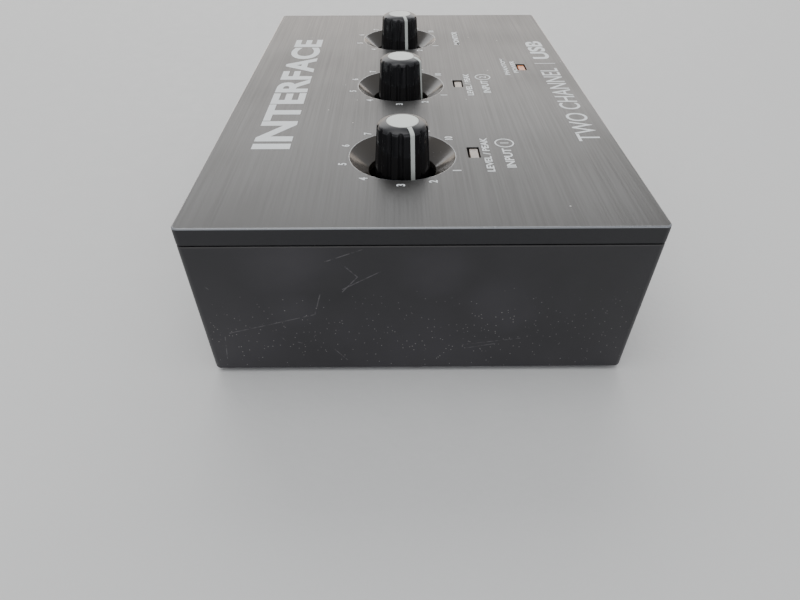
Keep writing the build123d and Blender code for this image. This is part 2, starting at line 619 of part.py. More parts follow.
def slider(x):
    """The slider, standing at the left end of its travel."""
    mid, half = x - SLIDER_TRAVEL / 2, SLIDER_W / 2
    front = front_y(JACK_Z)
    inner = front + WALL + SWITCH_GAP + RUNNER_CLEAR
    low, high = JACK_Z - SLIDER_H / 2, JACK_Z + SLIDER_H / 2
    stem = block(mid - half, mid + half, front - SLIDER_PROUD, inner + SINK, low, high)
    stem = fillet(stem.edges().group_by(Axis.Y)[0], NOSE_EDGE_R)
    runner = Box(SLIDER_W + 2 * RUNNER_OUT, RUNNER_T, RUNNER_H)
    return stem + Pos(mid, inner + RUNNER_T / 2, JACK_Z) * runner


def button_switch():
    """The latching switch behind the phantom-power button."""
    front = front_y(JACK_Z) + BUTTON_BODY_IN
    half = BUTTON_BODY_W / 2
    body = block(BUTTON_X - half, BUTTON_X + half, front, front + BUTTON_BODY_BACK, MAIN_TOP, JACK_Z + half)
    return body - rod(PLUNGER_HOLE_R, BUTTON_X, JACK_Z, front - OVER, front + BUTTON_BODY_BACK - BORE_END)


def phantom_button():
    """The round button cap on its plunger, standing out."""
    face = front_y(JACK_Z)
    cap = rod(BUTTON_R, BUTTON_X, JACK_Z, face - BUTTON_PROUD, face + BUTTON_SKIRT)
    cap = fillet(cap.edges().sort_by(Axis.Y)[0], BUTTON_EDGE_R)
    return cap + rod(PLUNGER_R, BUTTON_X, JACK_Z, face + BUTTON_SKIRT - SINK, face + PLUNGER_L)


# ---------------------------------------------------------------- rear
def usb_outline(width, height, cut):
    """The square-ish socket outline with its two upper corners cut off."""
    w, h = width / 2, height / 2
    points = [(-w, -h), (w, -h), (w, h - cut), (w - cut, h), (-w + cut, h), (-w, h - cut)]
    return make_face(Polyline(points, close=True).edges())


def usb_prism(width, height, cut, y0, y1):
    """The socket outline as a bar along Y."""
    shape = extrude(Plane.XZ * usb_outline(width, height, cut), amount=-(y1 - y0))
    return Pos(USB_X, y0, USB_Z) * shape


def usb_shell():
    """The plated shell of the USB socket, closed at the back."""
    face = rear_y(USB_Z) + USB_PROUD
    outer = usb_prism(USB_W, USB_H, USB_CHAMFER, face - USB_BACK, face)
    inner_w, inner_h = USB_W - 2 * USB_SHELL_T, USB_H - 2 * USB_SHELL_T
    return outer - usb_prism(inner_w, inner_h, USB_INNER_CHAMFER, face - USB_BACK + USB_SHELL_T, face + OVER)


def usb_insert():
    """The socket's moulding: a lining with a square mouth around the contact tongue."""
    face = rear_y(USB_Z) + USB_PROUD
    back = face - USB_BACK + USB_SHELL_T + USB_LINING_CLEAR / 2
    slack = 2 * USB_SHELL_T + USB_LINING_CLEAR
    lining = usb_prism(USB_W - slack, USB_H - slack, USB_INNER_CHAMFER, back, face - USB_LINING_SUNK)
    mouth = usb_prism(MOUTH_W, MOUTH_H, MOUTH_CHAMFER, back + MOUTH_END, face + OVER)
    low, high = USB_Z - TONGUE_H / 2, USB_Z + TONGUE_H / 2
    left, right = USB_X - TONGUE_W / 2, USB_X + TONGUE_W / 2
    tongue = block(left, right, back + MOUTH_END - SINK, face - TONGUE_SUNK, low, high)
    return lining - mouth + tongue


def rca_housing():
    """The twin output socket's moulding, behind the rear wall."""
    wall = rear_y(RCA_Z) - WALL - BODY_GAP
    left, right = RCA_X[0] - RCA_BODY_SIDE, RCA_X[1] + RCA_BODY_SIDE
    body = block(left, right, wall - RCA_BACK, wall, MAIN_TOP, RCA_Z + RCA_BODY_UP)
    for x in RCA_X:
        body -= rod(RCA_ROOT_R + SEAT_CLEAR, x, RCA_Z, wall - RCA_ROOT_L - SEAT_CLEAR, wall + OVER)
    return body


def rca_barrel(x):
    """One output socket's plated barrel."""
    face, wall = rear_y(RCA_Z), rear_y(RCA_Z) - WALL - BODY_GAP
    tube = rod(RCA_BARREL_R, x, RCA_Z, face, face + RCA_PROUD)
    tube = fillet(tube.edges().sort_by(Axis.Y)[-1], RCA_EDGE_R)
    tube += rod(RCA_ROOT_R, x, RCA_Z, wall - RCA_ROOT_L, face + SINK)
    return tube - rod(RCA_BARREL_IN_R, x, RCA_Z, wall - RCA_ROOT_L - OVER, face + RCA_PROUD + OVER)


def rca_fill(x):
    """The coloured insulator inside an output barrel, with the hole for the plug's pin."""
    face, wall = rear_y(RCA_Z), rear_y(RCA_Z) - WALL - BODY_GAP
    end = face + RCA_PROUD - RCA_FILL_SUNK
    fill = rod(RCA_BARREL_IN_R - SEAT_CLEAR, x, RCA_Z, wall - RCA_ROOT_L, end)
    return fill - rod(RCA_PIN_R, x, RCA_Z, end - RCA_PIN_DEPTH, end + OVER)


def build():
    """Every node's shape, drawn about the enclosure's centre line."""
    nodes = {
        "top_cover": top_cover(),
        "base_shell": base_shell(),
        "rubber_feet": rubber_feet(),
        "cover_screws": cover_screws(),
        "main_board": main_board(),
        "control_board": control_board(),
        "main_board_screws": board_screws(),
        "control_board_screws": control_screws(),
        "circuit_chips": circuit_chips(),
        "capacitors": capacitors(),
        "board_link_plugs": board_plugs(),
        "board_link_ribbon": board_ribbon(),
        "signal_led_lenses": signal_lenses(),
        "phantom_led_lens": led_lens(*PHANTOM_LED),
        "led_leads": led_leads(),
        "combo_socket_housing": combo_housing(),
        "xlr_contacts": xlr_contacts(),
        "instrument_jack_housing": jack_housing(),
        "instrument_jack_ferrule": jack_ferrule(),
        "headphone_jack": phones_jack(),
        "phantom_switch_body": button_switch(),
        "phantom_button": phantom_button(),
        "usb_socket_shell": usb_shell(),
        "usb_socket_insert": usb_insert(),
        "output_socket_housing": rca_housing(),
    }
    for name, x in zip(("line_switch", "monitor_switch"), SLIDER_X):
        nodes[f"{name}_frame"] = slide_switch(x)
        nodes[f"{name}_slider"] = slider(x)
    for side, x in zip(("right", "left"), RCA_X):
        nodes[f"{side}_output_barrel"] = rca_barrel(x)
        nodes[f"{side}_output_insulator"] = rca_fill(x)
    marker = knob_marker()
    grip = knob_body(marker)
    shaft = pot_shaft()
    for i, dial in enumerate(("input_1", "input_2", "monitor")):
        nodes[f"{dial}_knob"] = turned(grip, i)
        nodes[f"{dial}_knob_marker"] = turned(marker, i)
        nodes[f"{dial}_pot_shaft"] = turned(shaft, i)
        nodes[f"{dial}_pot_housing"] = pot_housing(DIAL_X[i])
    return nodes


def main():
    os.makedirs("parts", exist_ok=True)
    to_row = Pos(0, ENCLOSURE_Y, 0)
    for name, shape in build().items():
        pieces = shape if isinstance(shape, list) else [shape]
        solids = [to_row * solid for piece in pieces for solid in piece.solids()]
        whole = solids[0] if len(solids) == 1 else Compound(children=solids)
        whole.label = name
        export_step(whole, f"parts/{name}.step")


main()
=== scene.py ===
import math

import bmesh
import bpy
from mathutils import Matrix, Vector


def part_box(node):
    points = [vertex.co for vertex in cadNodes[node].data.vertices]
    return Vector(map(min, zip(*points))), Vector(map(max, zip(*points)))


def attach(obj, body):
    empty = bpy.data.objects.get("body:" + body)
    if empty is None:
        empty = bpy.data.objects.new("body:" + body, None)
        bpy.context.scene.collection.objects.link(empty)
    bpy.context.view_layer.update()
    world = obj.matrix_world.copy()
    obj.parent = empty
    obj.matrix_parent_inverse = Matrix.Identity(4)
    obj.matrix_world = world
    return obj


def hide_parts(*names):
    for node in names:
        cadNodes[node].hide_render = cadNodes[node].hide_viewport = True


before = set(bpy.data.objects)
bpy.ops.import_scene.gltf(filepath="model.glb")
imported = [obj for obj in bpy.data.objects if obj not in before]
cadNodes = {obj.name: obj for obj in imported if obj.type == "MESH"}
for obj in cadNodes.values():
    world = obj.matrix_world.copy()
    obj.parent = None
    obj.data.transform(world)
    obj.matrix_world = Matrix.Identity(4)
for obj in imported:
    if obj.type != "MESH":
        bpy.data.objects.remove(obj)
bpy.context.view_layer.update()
mm = 0.001
print("frame loaded:", len(cadNodes), "nodes")


def middle(name):
    low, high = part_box(name)
    return (low + high) / 2


coverLow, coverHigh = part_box("top_cover")
baseLow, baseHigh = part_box("base_shell")
topZ = coverHigh.z
boxMid = Vector(((coverLow.x + coverHigh.x) / 2, (coverLow.y + coverHigh.y) / 2, topZ))
halfX, halfY = (coverHigh.x - coverLow.x) / 2, (coverHigh.y - coverLow.y) / 2
dialNames = ("input_1", "input_2", "monitor")
dialMids = [middle(name + "_pot_housing") for name in dialNames]
jackZ = middle("phantom_button").z

caseShape = {
    "draft": math.radians(1.15), "cornerRadius": 1.6 * mm, "leastCorner": 0.6 * mm, "cornerSteps": 12,
    "wall": 2.4 * mm, "floor": 2.2 * mm, "lipHeight": 2.0 * mm, "lipWall": 1.0 * mm, "lipClear": 0.1 * mm,
    "lipGap": 0.2 * mm, "seamGap": 0.35 * mm, "topEdge": 0.35 * mm, "seamEdgeHighlight": 0.15 * mm,
    "baseEdge": 0.28 * mm, "footEdge": 0.6 * mm, "holeEdge": 0.22 * mm,
}
seamMid = baseHigh.z - caseShape["lipHeight"]
lockPlace = Vector((boxMid.x - 66.0 * mm, 0, 24.0 * mm))


def leanAt(z):
    return math.tan(caseShape["draft"]) * (topZ - z)


# place of the front or rear wall at height z, set in by depth
def wallY(side, z, depth=0.0):
    sign = -1 if side == "front" else 1
    return boxMid.y + sign * (halfY - leanAt(z) - depth)


# corners given as (u, v, radius) become arcs
def softened(corners, steps=5):
    path = []
    for i, corner in enumerate(corners):
        u, v, radius = (*corner, 0.0)[:3]
        here = Vector((u, v))
        if radius <= 0 or i in (0, len(corners) - 1):
            path.append(here)
            continue
        back = (Vector(corners[i - 1][:2]) - here).normalized()
        ahead = (Vector(corners[i + 1][:2]) - here).normalized()
        half = back.angle(ahead) / 2
        reach = radius / math.tan(half)
        hub = here + (back + ahead).normalized() * radius / math.sin(half)
        first, last = here + back * reach - hub, here + ahead * reach - hub
        sweep = first.angle_signed(last)
        for k in range(steps + 1):
            path.append(hub + Matrix.Rotation(-sweep * k / steps, 2) @ first)
    return path


def ringOf(bm, points):
    return [bm.verts.new(p) for p in points]


# quads between two loops of one length, leaving out the sides in skip
def skinned(bm, one, other, slotIndex=0, smooth=True, skip=()):
    count = len(one)
    for i in range(count):
        if i in skip:
            continue
        j = (i + 1) % count
        face = bm.faces.new((one[i], one[j], other[j], other[i]))
        face.material_index = slotIndex
        face.smooth = smooth


# a flat face through the first loop, with the other loops as holes
def plate(bm, loops, slotIndex=0):
    edges = []
    for loop in loops:
        for a, b in zip(loop, loop[1:] + loop[:1]):
            edges.append(bm.edges.get((a, b)) or bm.edges.new((a, b)))
    made = bmesh.ops.triangle_fill(bm, use_beauty=True, use_dissolve=False, edges=list(set(edges)))
    for item in made["geom"]:
        if isinstance(item, bmesh.types.BMFace):
            item.material_index = slotIndex
            item.smooth = False


def circle(mid, radius, axis="Z", along=0.0, count=96):
    points = []
    for k in range(count):
        a = 2 * math.pi * k / count
        u, v = mid[0] + radius * math.cos(a), mid[1] + radius * math.sin(a)
        points.append(Vector((u, v, along)) if axis == "Z" else Vector((u, along, v)))
    return points


# a turned surface; profile is (radius, place along the axis), poles are closed, and slotOf names each band
def turned(bm, profile, mid, axis="Z", count=96, slotOf=None):
    loops = []
    for radius, along in profile:
        pole = radius < 1e-7
        loops.append(ringOf(bm, circle(mid, 0.0 if pole else radius, axis, along, 1 if pole else count)))
    for i, (one, other) in enumerate(zip(loops, loops[1:])):
        index = slotOf(i) if slotOf else 0
        if len(one) == len(other):
            skinned(bm, one, other, index)
            continue
        pole, loop = (one[0], other) if len(one) == 1 else (other[0], one)
        for a, b in zip(loop, loop[1:] + loop[:1]):
            face = bm.faces.new((a, b, pole))
            face.material_index = index
            face.smooth = True
    return loops


def roundedRect(halfU, halfV, radius, perCorner=6):
    points = []
    radius = min(radius, halfU, halfV)
    for quarter, (su, sv) in enumerate(((1, 1), (-1, 1), (-1, -1), (1, -1))):
        hubU, hubV = su * (halfU - radius), sv * (halfV - radius)
        for k in range(perCorner + 1):
            a = math.pi / 2 * (quarter + k / perCorner)
            points.append((hubU + radius * math.cos(a), hubV + radius * math.sin(a)))
    return points


# normals: flat faces keep their own, curved faces share theirs and take a flat neighbour's at the border
def settleNormals(mesh, crease):
    mesh.update()
    faceNormals = [p.normal.copy() for p in mesh.polygons]
    around = [[] for _ in mesh.vertices]
    for p in mesh.polygons:
        for v in p.vertices:
            around[v].append(p.index)
    limit = math.cos(crease)
    loopNormals = [None] * len(mesh.loops)
    for p in mesh.polygons:
        own = faceNormals[p.index]
        for li in p.loop_indices:
            if not p.use_smooth:
                loopNormals[li] = own
                continue
            near = [f for f in around[mesh.loops[li].vertex_index] if faceNormals[f].dot(own) > limit]
            flats = [f for f in near if not mesh.polygons[f].use_smooth]
            total = Vector()
            for f in (flats or near):
                total += faceNormals[f] * (1.0 if flats else mesh.polygons[f].area)
            loopNormals[li] = total.normalized() if total.length > 0 else own
    mesh.polygons.foreach_set("use_smooth", [True] * len(mesh.polygons))
    mesh.normals_split_custom_set(loopNormals)


def finished(name, bm, materials, crease=38):
    bmesh.ops.remove_doubles(bm, verts=bm.verts, dist=1e-7)
    bmesh.ops.recalc_face_normals(bm, faces=bm.faces)
    mesh = bpy.data.meshes.new(name)
    bm.to_mesh(mesh)
    bm.free()
    for material in materials:
        mesh.materials.append(material)
    settleNormals(mesh, math.radians(crease))
    made = bpy.data.objects.new(name, mesh)
    bpy.context.scene.collection.objects.link(made)
    return made


# hides the CAD node a finished piece stands in for, and hangs the piece on what it moves with
def fitted(piece, body="enclosure", node=None):
    if node:
        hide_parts(node)
    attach(piece, body)


def surface(name, colour, roughness, **values):
    material = bpy.data.materials.new(name)
    material.use_nodes = True
    shader = material.node_tree.nodes["Principled BSDF"]
    shader.inputs["Base Color"].default_value = (*colour, 1)
    shader.inputs["Roughness"].default_value = roughness
    for key, value in values.items():
        shader.inputs[key.replace("_", " ")].default_value = value
    return material, material.node_tree, shader


def put(tree, kind, settings=None, **sockets):
    made = tree.nodes.new(kind)
    for key, value in (settings or {}).items():
        setattr(made, key, value)
    for key, value in sockets.items():
        numbered = key.startswith("in") and key[2:].isdigit()
        socket = made.inputs[int(key[2:]) if numbered else key.replace("_", " ")]
        if isinstance(value, bpy.types.NodeSocket):
            tree.links.new(value, socket)
        else:
            socket.default_value = value
    return made


def maths(tree, operation, a, b=0.0, c=0.0):
    return put(tree, "ShaderNodeMath", {"operation": operation}, in0=a, in1=b, in2=c).outputs[0]


def times(tree, a, b):
    return maths(tree, "MULTIPLY", a, b)


def ranged(tree, value, low, high, toLow=0.0, toHigh=1.0):
    return put(tree, "ShaderNodeMapRange", {"interpolation_type": "SMOOTHSTEP"}, Value=value, From_Min=low,
               From_Max=high, To_Min=toLow, To_Max=toHigh).outputs["Result"]


def objectCoords(tree):
    return put(tree, "ShaderNodeTexCoord").outputs["Object"]


def stretched(tree, coords, scale):
    return put(tree, "ShaderNodeMapping", None, Vector=coords, Scale=scale).outputs[0]


def noise(tree, coords, scale, detail=2.0, rough=0.5):
    made = put(tree, "ShaderNodeTexNoise", None, Vector=coords, Scale=scale, Detail=detail, Roughness=rough)
    return made.outputs[0]


# sparse dots: cells of a Voronoi pattern, each kept with the given share
def specks(tree, coords, scale, size, share):
    cells = put(tree, "ShaderNodeTexVoronoi", None, Vector=coords, Scale=scale)
    dot = ranged(tree, cells.outputs["Distance"], size * 0.4, size, 1.0, 0.0)
    parts = put(tree, "ShaderNodeSeparateColor", None, Color=cells.outputs["Color"])
    kept = maths(tree, "LESS_THAN", parts.outputs[0], share)
    return maths(tree, "MULTIPLY", dot, kept)


def mixed(tree, factor, one, other):
    made = put(tree, "ShaderNodeMix", {"data_type": "RGBA"}, in0=factor)
    for index, value in ((6, one), (7, other)):
        if isinstance(value, bpy.types.NodeSocket):
            tree.links.new(value, made.inputs[index])
        else:
            made.inputs[index].default_value = (*value, 1)
    return made.outputs[2]


# gives a finish its colour and roughness, over a bump of this depth
def painted(tree, shader, colour, rough, height, depth):
    bump = put(tree, "ShaderNodeBump", None, Height=height, Distance=depth, Strength=1.0)
    for value, socket in ((colour, "Base Color"), (rough, "Roughness"), (bump.outputs[0], "Normal")):
        tree.links.new(value, shader.inputs[socket])


def vectorMaths(tree, operation, a, b=(0, 0, 0)):
    return put(tree, "ShaderNodeVectorMath", {"operation": operation}, in0=a, in1=b)


# a soft-edged line from one (y, z) place on an end wall to another
def scratch(tree, flat, start, end, width):
    one = Vector((0, boxMid.y + start[0] * mm, topZ + start[1] * mm))
    run = Vector((0, boxMid.y + end[0] * mm, topZ + end[1] * mm)) - one
    offset = vectorMaths(tree, "SUBTRACT", flat, one).outputs[0]
    along = vectorMaths(tree, "DOT_PRODUCT", offset, run.normalized()).outputs["Value"]
    held = maths(tree, "MINIMUM", maths(tree, "MAXIMUM", along, 0.0), run.length)
    foot = put(tree, "ShaderNodeVectorMath", {"operation": "SCALE"}, in0=run.normalized(), Scale=held)
    gap = vectorMaths(tree, "DISTANCE", offset, foot.outputs[0]).outputs["Value"]
    return ranged(tree, gap, width * 0.4, width, 1.0, 0.0)


# a round haze about a (y, z) place on an end wall
def haze(tree, flat, place, radius):
    mid = (0, boxMid.y + place[0] * mm, topZ + place[1] * mm)
    return ranged(tree, vectorMaths(tree, "DISTANCE", flat, mid).outputs["Value"], 0.0, radius, 1.0, 0.0)


# the cover: satin plastic with hairlines from left to right, a few dust grains and faint smears
coverLook = {
    "colour": (0.0155, 0.0147, 0.0138), "hairColour": (0.0195, 0.0186, 0.0176), "roughness": 0.375,
    "fineHair": (22.0, 2800.0, 2800.0), "longHair": (14.0, 1900.0, 1900.0), "fineShare": 0.8,
    "hairRough": 0.04, "hairDepth": 0.000008, "smearScale": 17.0, "smearRough": 0.035, "dustScale": 230.0,
    "dustSize": 0.07, "dustShare": 0.30, "dustCover": 0.8, "dustRise": 2.0, "dustColour": (0.45, 0.44, 0.42),
}


def hairlinePlastic(name, look):
    material, tree, shader = surface(name, look["colour"], look["roughness"])
    coords = objectCoords(tree)
    fine = noise(tree, stretched(tree, coords, look["fineHair"]), 1.0, 2.0, 0.6)
    long = noise(tree, stretched(tree, coords, look["longHair"]), 1.0, 2.0, 0.6)
    smear = noise(tree, coords, look["smearScale"], 3.0, 0.55)
    dust = specks(tree, coords, look["dustScale"], look["dustSize"], look["dustShare"])
    share = look["fineShare"]
    hair = maths(tree, "ADD", times(tree, fine, share), times(tree, long, 1 - share))
    colour = mixed(tree, ranged(tree, hair, 0.38, 0.62), look["colour"], look["hairColour"])
    colour = mixed(tree, times(tree, dust, look["dustCover"]), colour, look["dustColour"])
    low, high = look["roughness"] - look["hairRough"], look["roughness"] + look["hairRough"]
    smeared = ranged(tree, smear, 0.3, 0.7, -look["smearRough"], look["smearRough"])
    rough = maths(tree, "ADD", ranged(tree, hair, 0.36, 0.64, low, high), smeared)
    height = maths(tree, "ADD", hair, times(tree, dust, look["dustRise"]))
    painted(tree, shader, colour, rough, height, look["hairDepth"])
    return material


# the base: finely textured plastic, with the scuffs and dust of use on its left end wall, and lighter towards
# the bottom all round as a painted reflection of the floor
caseLook = {
    "colour": (0.0110, 0.0104, 0.0122), "greyer": (0.0180, 0.0170, 0.0195), "roughness": 0.46,
    "grainScale": 2600.0, "grainDepth": 0.000016, "cloudScale": 34.0,
    "dustScale": 900.0, "dustSize": 0.16, "dustShare": 0.35, "cleanDust": 0.16,
    "dustColour": (0.30, 0.29, 0.28),
    "hazeAndReflectionColour": (0.060, 0.056, 0.064), "hazeAndReflectionCover": 0.36, "floorReflectionHeight": 34 * mm,
    "scratchColour": (0.13, 0.125, 0.13), "scratchWidth": 0.16 * mm, "scratchCover": 0.6,
}
# places on the end wall, in millimetres: (across from the middle, above the cover's top)
wallHazes = [
    ((28.8, -10.5), 17 * mm), ((-3.3, -12.2), 13 * mm), ((30.0, -24.0), 12 * mm), ((-20, -26), 18 * mm),
]
wallScratches = [
    ((23.9, -18.9), (25.7, -25.3)), ((25.7, -25.3), (37.2, -28.6)), ((37.2, -28.6), (47.7, -31.5)),
    ((13.2, -5.7), (21.9, -9.1)), ((17.4, -10.6), (14.7, -13.6)), ((14.7, -13.6), (18.5, -18.1)),
    ((9.4, -12.1), (18.4, -17.3)), ((49.2, -32.9), (50.2, -41.2)), ((-11.3, -36.1), (-25.8, -33.9)),
    ((-12.0, -37.4), (-19.6, -35.8)), ((21.7, -37.6), (18.7, -41.5)), ((34.7, -33.3), (34.0, -34.4)),
    ((31.1, -34.8), (30.0, -35.2)), ((50.7, -16.3), (49.9, -17.3)),
]


def mouldedPlastic(name, look, scuffed=True):
    material, tree, shader = surface(name, look["colour"], look["roughness"])
    coords = objectCoords(tree)
    grain = noise(tree, coords, look["grainScale"], 2.0, 0.6)
    cloud = noise(tree, coords, look["cloudScale"], 3.0, 0.6)
    dust = specks(tree, coords, look["dustScale"], look["dustSize"], look["dustShare"])
    colour = mixed(tree, ranged(tree, cloud, 0.3, 0.7), look["colour"], look["greyer"])
    dustCover = times(tree, dust, look["cleanDust"])
    if scuffed:
        flat = vectorMaths(tree, "MULTIPLY", coords, (0, 1, 1)).outputs[0]
        parts = put(tree, "ShaderNodeSeparateXYZ", None, in0=coords).outputs
        endWall = maths(tree, "LESS_THAN", parts[0], boxMid.x - halfX + 3 * mm)
        # painted reflection of the floor: the plastic grows lighter towards the bottom, and the round hazes
        # join it
        hazeAndFloorReflection = ranged(tree, parts[2], baseLow.z + look["floorReflectionHeight"], baseLow.z, 0.0, 0.9)
        for place, radius in wallHazes:
            hazeAndFloorReflection = maths(tree, "MAXIMUM", hazeAndFloorReflection, haze(tree, flat, place, radius))
        hazeAndFloorReflection = times(tree, hazeAndFloorReflection, ranged(tree, cloud, 0.2, 0.75, 0.5, 1.0))
        marks = 0.0
        for start, end in wallScratches:
            marks = maths(tree, "MAXIMUM", marks, scratch(tree, flat, start, end, look["scratchWidth"]))
        broken = ranged(tree, noise(tree, coords, 700.0, 2.0, 0.6), 0.35, 0.6)
        marks = times(tree, times(tree, marks, broken), endWall)
        colour = mixed(tree, times(tree, hazeAndFloorReflection, look["hazeAndReflectionCover"]), colour, look["hazeAndReflectionColour"])
        colour = mixed(tree, times(tree, marks, look["scratchCover"]), colour, look["scratchColour"])
        dustCover = times(tree, dust, maths(tree, "MULTIPLY_ADD", hazeAndFloorReflection, 0.9, 0.12))
    colour = mixed(tree, dustCover, colour, look["dustColour"])
    rough = ranged(tree, cloud, 0.3, 0.7, look["roughness"] - 0.04, look["roughness"] + 0.05)
    painted(tree, shader, colour, rough, grain, look["grainDepth"])
    return material


dustWhite = (0.4, 0.39, 0.37)


def glossPlastic(name, colour, roughness, dustShare=0.12, **values):
    material, tree, shader = surface(name, colour, roughness, **values)
    coords = objectCoords(tree)
    smear = noise(tree, coords, 180.0, 3.0, 0.6)
    dust = times(tree, specks(tree, coords, 900.0, 0.10, dustShare), 0.3)
    rough = maths(tree, "ADD", ranged(tree, smear, 0.35, 0.75, roughness, roughness + 0.1), dust)
    painted(tree, shader, mixed(tree, dust, colour, dustWhite), rough, noise(tree, coords, 260.0), 0.00002)
    return material


# the knobs are polished below and satin on the ring round the white disc, where the colour is also painted
# lighter as sheen
def knobPlastic(name, colour, gloss, satin):
    material, tree, shader = surface(name, colour, gloss)
    coords = objectCoords(tree)
    height = put(tree, "ShaderNodeSeparateXYZ", None, in0=coords).outputs[2]
    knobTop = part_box("input_1_knob")[1].z
    ringSatinAndSheen = ranged(tree, height, knobTop - 2.2 * mm, knobTop - 0.3 * mm)
    smear = noise(tree, coords, 210.0, 3.0, 0.6)
    dust = times(tree, specks(tree, coords, 1000.0, 0.10, 0.14), 0.35)
    # painted sheen: the ring's colour is made nearly twice as light
    base = mixed(tree, ringSatinAndSheen, colour, tuple(c * 1.9 for c in colour))
    polish = ranged(tree, smear, 0.35, 0.75, gloss, gloss + 0.09)
    rough = maths(tree, "MULTIPLY_ADD", ringSatinAndSheen, satin - gloss, polish)
    painted(tree, shader, mixed(tree, dust, base, dustWhite), rough, noise(tree, coords, 1800.0), 0.000004)
    return material


def plainDetailed(name, colour, roughness, metallic=0.0, grainScale=1500.0, grainDepth=0.00001, shift=0.15):
    material, tree, shader = surface(name, colour, roughness, Metallic=metallic)
    coords = objectCoords(tree)
    tone = noise(tree, coords, 120.0, 4.0, 0.6)
    darker = tuple(c * (1 - shift) for c in colour)
    lighter = tuple(min(1.0, c * (1 + shift)) for c in colour)
    rough = ranged(tree, tone, 0.3, 0.7, roughness * 0.85, min(1.0, roughness * 1.2))
    grain = noise(tree, coords, grainScale, 2.0, 0.6)
    painted(tree, shader, mixed(tree, tone, darker, lighter), rough, grain, grainDepth)
    return material


# a frosted lens lets some light through
def lensPlastic(name, colour, otherColour, roughness):
    material, tree, shader = surface(name, colour, roughness, Transmission_Weight=0.15, IOR=1.49)
    coords = objectCoords(tree)
    tone = ranged(tree, noise(tree, coords, 420.0, 3.0, 0.6), 0.3, 0.7)
    rough = maths(tree, "MULTIPLY_ADD", tone, 0.14, roughness - 0.06)
    grain = noise(tree, coords, 2600.0, 2.0, 0.6)
    painted(tree, shader, mixed(tree, tone, otherColour, colour), rough, grain, 0.00001)
    return material


coverPlastic = hairlinePlastic("coverPlastic", coverLook)
casePlastic = mouldedPlastic("casePlastic", caseLook)
# the cover's rim face below its top edge, and its underside: the same plastic painted darker as shade
rimShadeLook = {
    **caseLook, "colour": (0.0055, 0.0054, 0.0072), "greyer": (0.0085, 0.0083, 0.0105), "roughness": 0.5,
}
rimShadedPlastic = mouldedPlastic("rimShadedPlastic", rimShadeLook, scuffed=False)
# the cover's top edge and the wells' rims: a glossy edge whose light bluish colour is a painted highlight
glossyEdgeHighlight = glossPlastic("glossyEdgeHighlight", (0.16, 0.17, 0.185), 0.2, Specular_IOR_Level=1.0, Coat_Weight=1.0,
                          Coat_Roughness=0.1)
# the base's top edge fillet at the seam: lighter than the case plastic as a painted highlight
seamEdgeHighlight = glossPlastic("seamEdgeHighlight", (0.035, 0.033, 0.033), 0.3)
# the wells' cones: gloss black plastic, tinted brown and lightened as a painted reflection of the room
wellGloss = glossPlastic("wellGloss", (0.058, 0.051, 0.044), 0.13, dustShare=0.35)
knobGloss = knobPlastic("knobGloss", (0.0065, 0.0065, 0.0075), 0.09, 0.30)
markerWhite = plainDetailed("markerWhite", (0.62, 0.66, 0.62), 0.42, grainScale=2500.0, shift=0.05)
inkWhite = plainDetailed("inkWhite", (0.70, 0.73, 0.74), 0.5, grainScale=4000.0, shift=0.12)
footRubber = plainDetailed("footRubber", (0.022, 0.022, 0.022), 0.75, grainScale=3000.0, grainDepth=0.00003)
blackZinc = plainDetailed("blackZinc", (0.06, 0.06, 0.065), 0.38, 1.0)
socketPlastic = plainDetailed("socketPlastic", (0.013, 0.013, 0.014), 0.38)
nickelPlate = plainDetailed("nickelPlate", (0.62, 0.60, 0.56), 0.22, 1.0, 900.0, 0.000004, 0.08)
goldContact = plainDetailed("goldContact", (0.78, 0.56, 0.24), 0.26, 1.0, 900.0, 0.000004, 0.08)
stampedSteel = plainDetailed("stampedSteel", (0.52, 0.52, 0.53), 0.32, 1.0, 1200.0, 0.000008, 0.1)
darkSteel = plainDetailed("darkSteel", (0.09, 0.085, 0.08), 0.45, 1.0)
buttonSatin = plainDetailed("buttonSatin", (0.030, 0.030, 0.032), 0.4)
canAluminium = plainDetailed("canAluminium", (0.6, 0.6, 0.61), 0.35, 1.0)
solderMask = plainDetailed("solderMask", (0.012, 0.085, 0.035), 0.35, grainScale=1800.0, shift=0.3)
chipEpoxy = plainDetailed("chipEpoxy", (0.02, 0.02, 0.021), 0.6)
creamNylon = plainDetailed("creamNylon", (0.62, 0.58, 0.48), 0.45)
ribbonVinyl = plainDetailed("ribbonVinyl", (0.30, 0.30, 0.31), 0.45)
paleNylon = plainDetailed("paleNylon", (0.62, 0.62, 0.60), 0.4)
outputRed = plainDetailed("outputRed", (0.42, 0.015, 0.012), 0.38)
outputWhite = plainDetailed("outputWhite", (0.68, 0.68, 0.65), 0.38)
signalLens = lensPlastic("signalLens", (0.50, 0.43, 0.37), (0.36, 0.30, 0.26), 0.32)
phantomLens = lensPlastic("phantomLens", (0.80, 0.24, 0.05), (0.62, 0.17, 0.035), 0.30)
print("finishes made")


wellShape = {
    "rim": 14.0 * mm, "low": 9.0 * mm, "depth": 4.2 * mm, "rimEdge": 0.25 * mm, "lowEdge": 0.3 * mm,
    "skin": 1.6 * mm, "lowWall": 1.0 * mm,
}
windowShape = {
    "length": 6.1 * mm, "width": 3.2 * mm, "edge": 0.12 * mm, "corner": 0.25 * mm, "shiftY": 0.2 * mm,
}
signalLow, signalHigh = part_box("signal_led_lenses")
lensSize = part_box("phantom_led_lens")[1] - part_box("phantom_led_lens")[0]
signalY = middle("signal_led_lenses").y
lensMids = [Vector((x, signalY, 0)) for x in (signalLow.x + lensSize.x / 2, signalHigh.x - lensSize.x / 2)]
lensMids.append(middle("phantom_led_lens"))


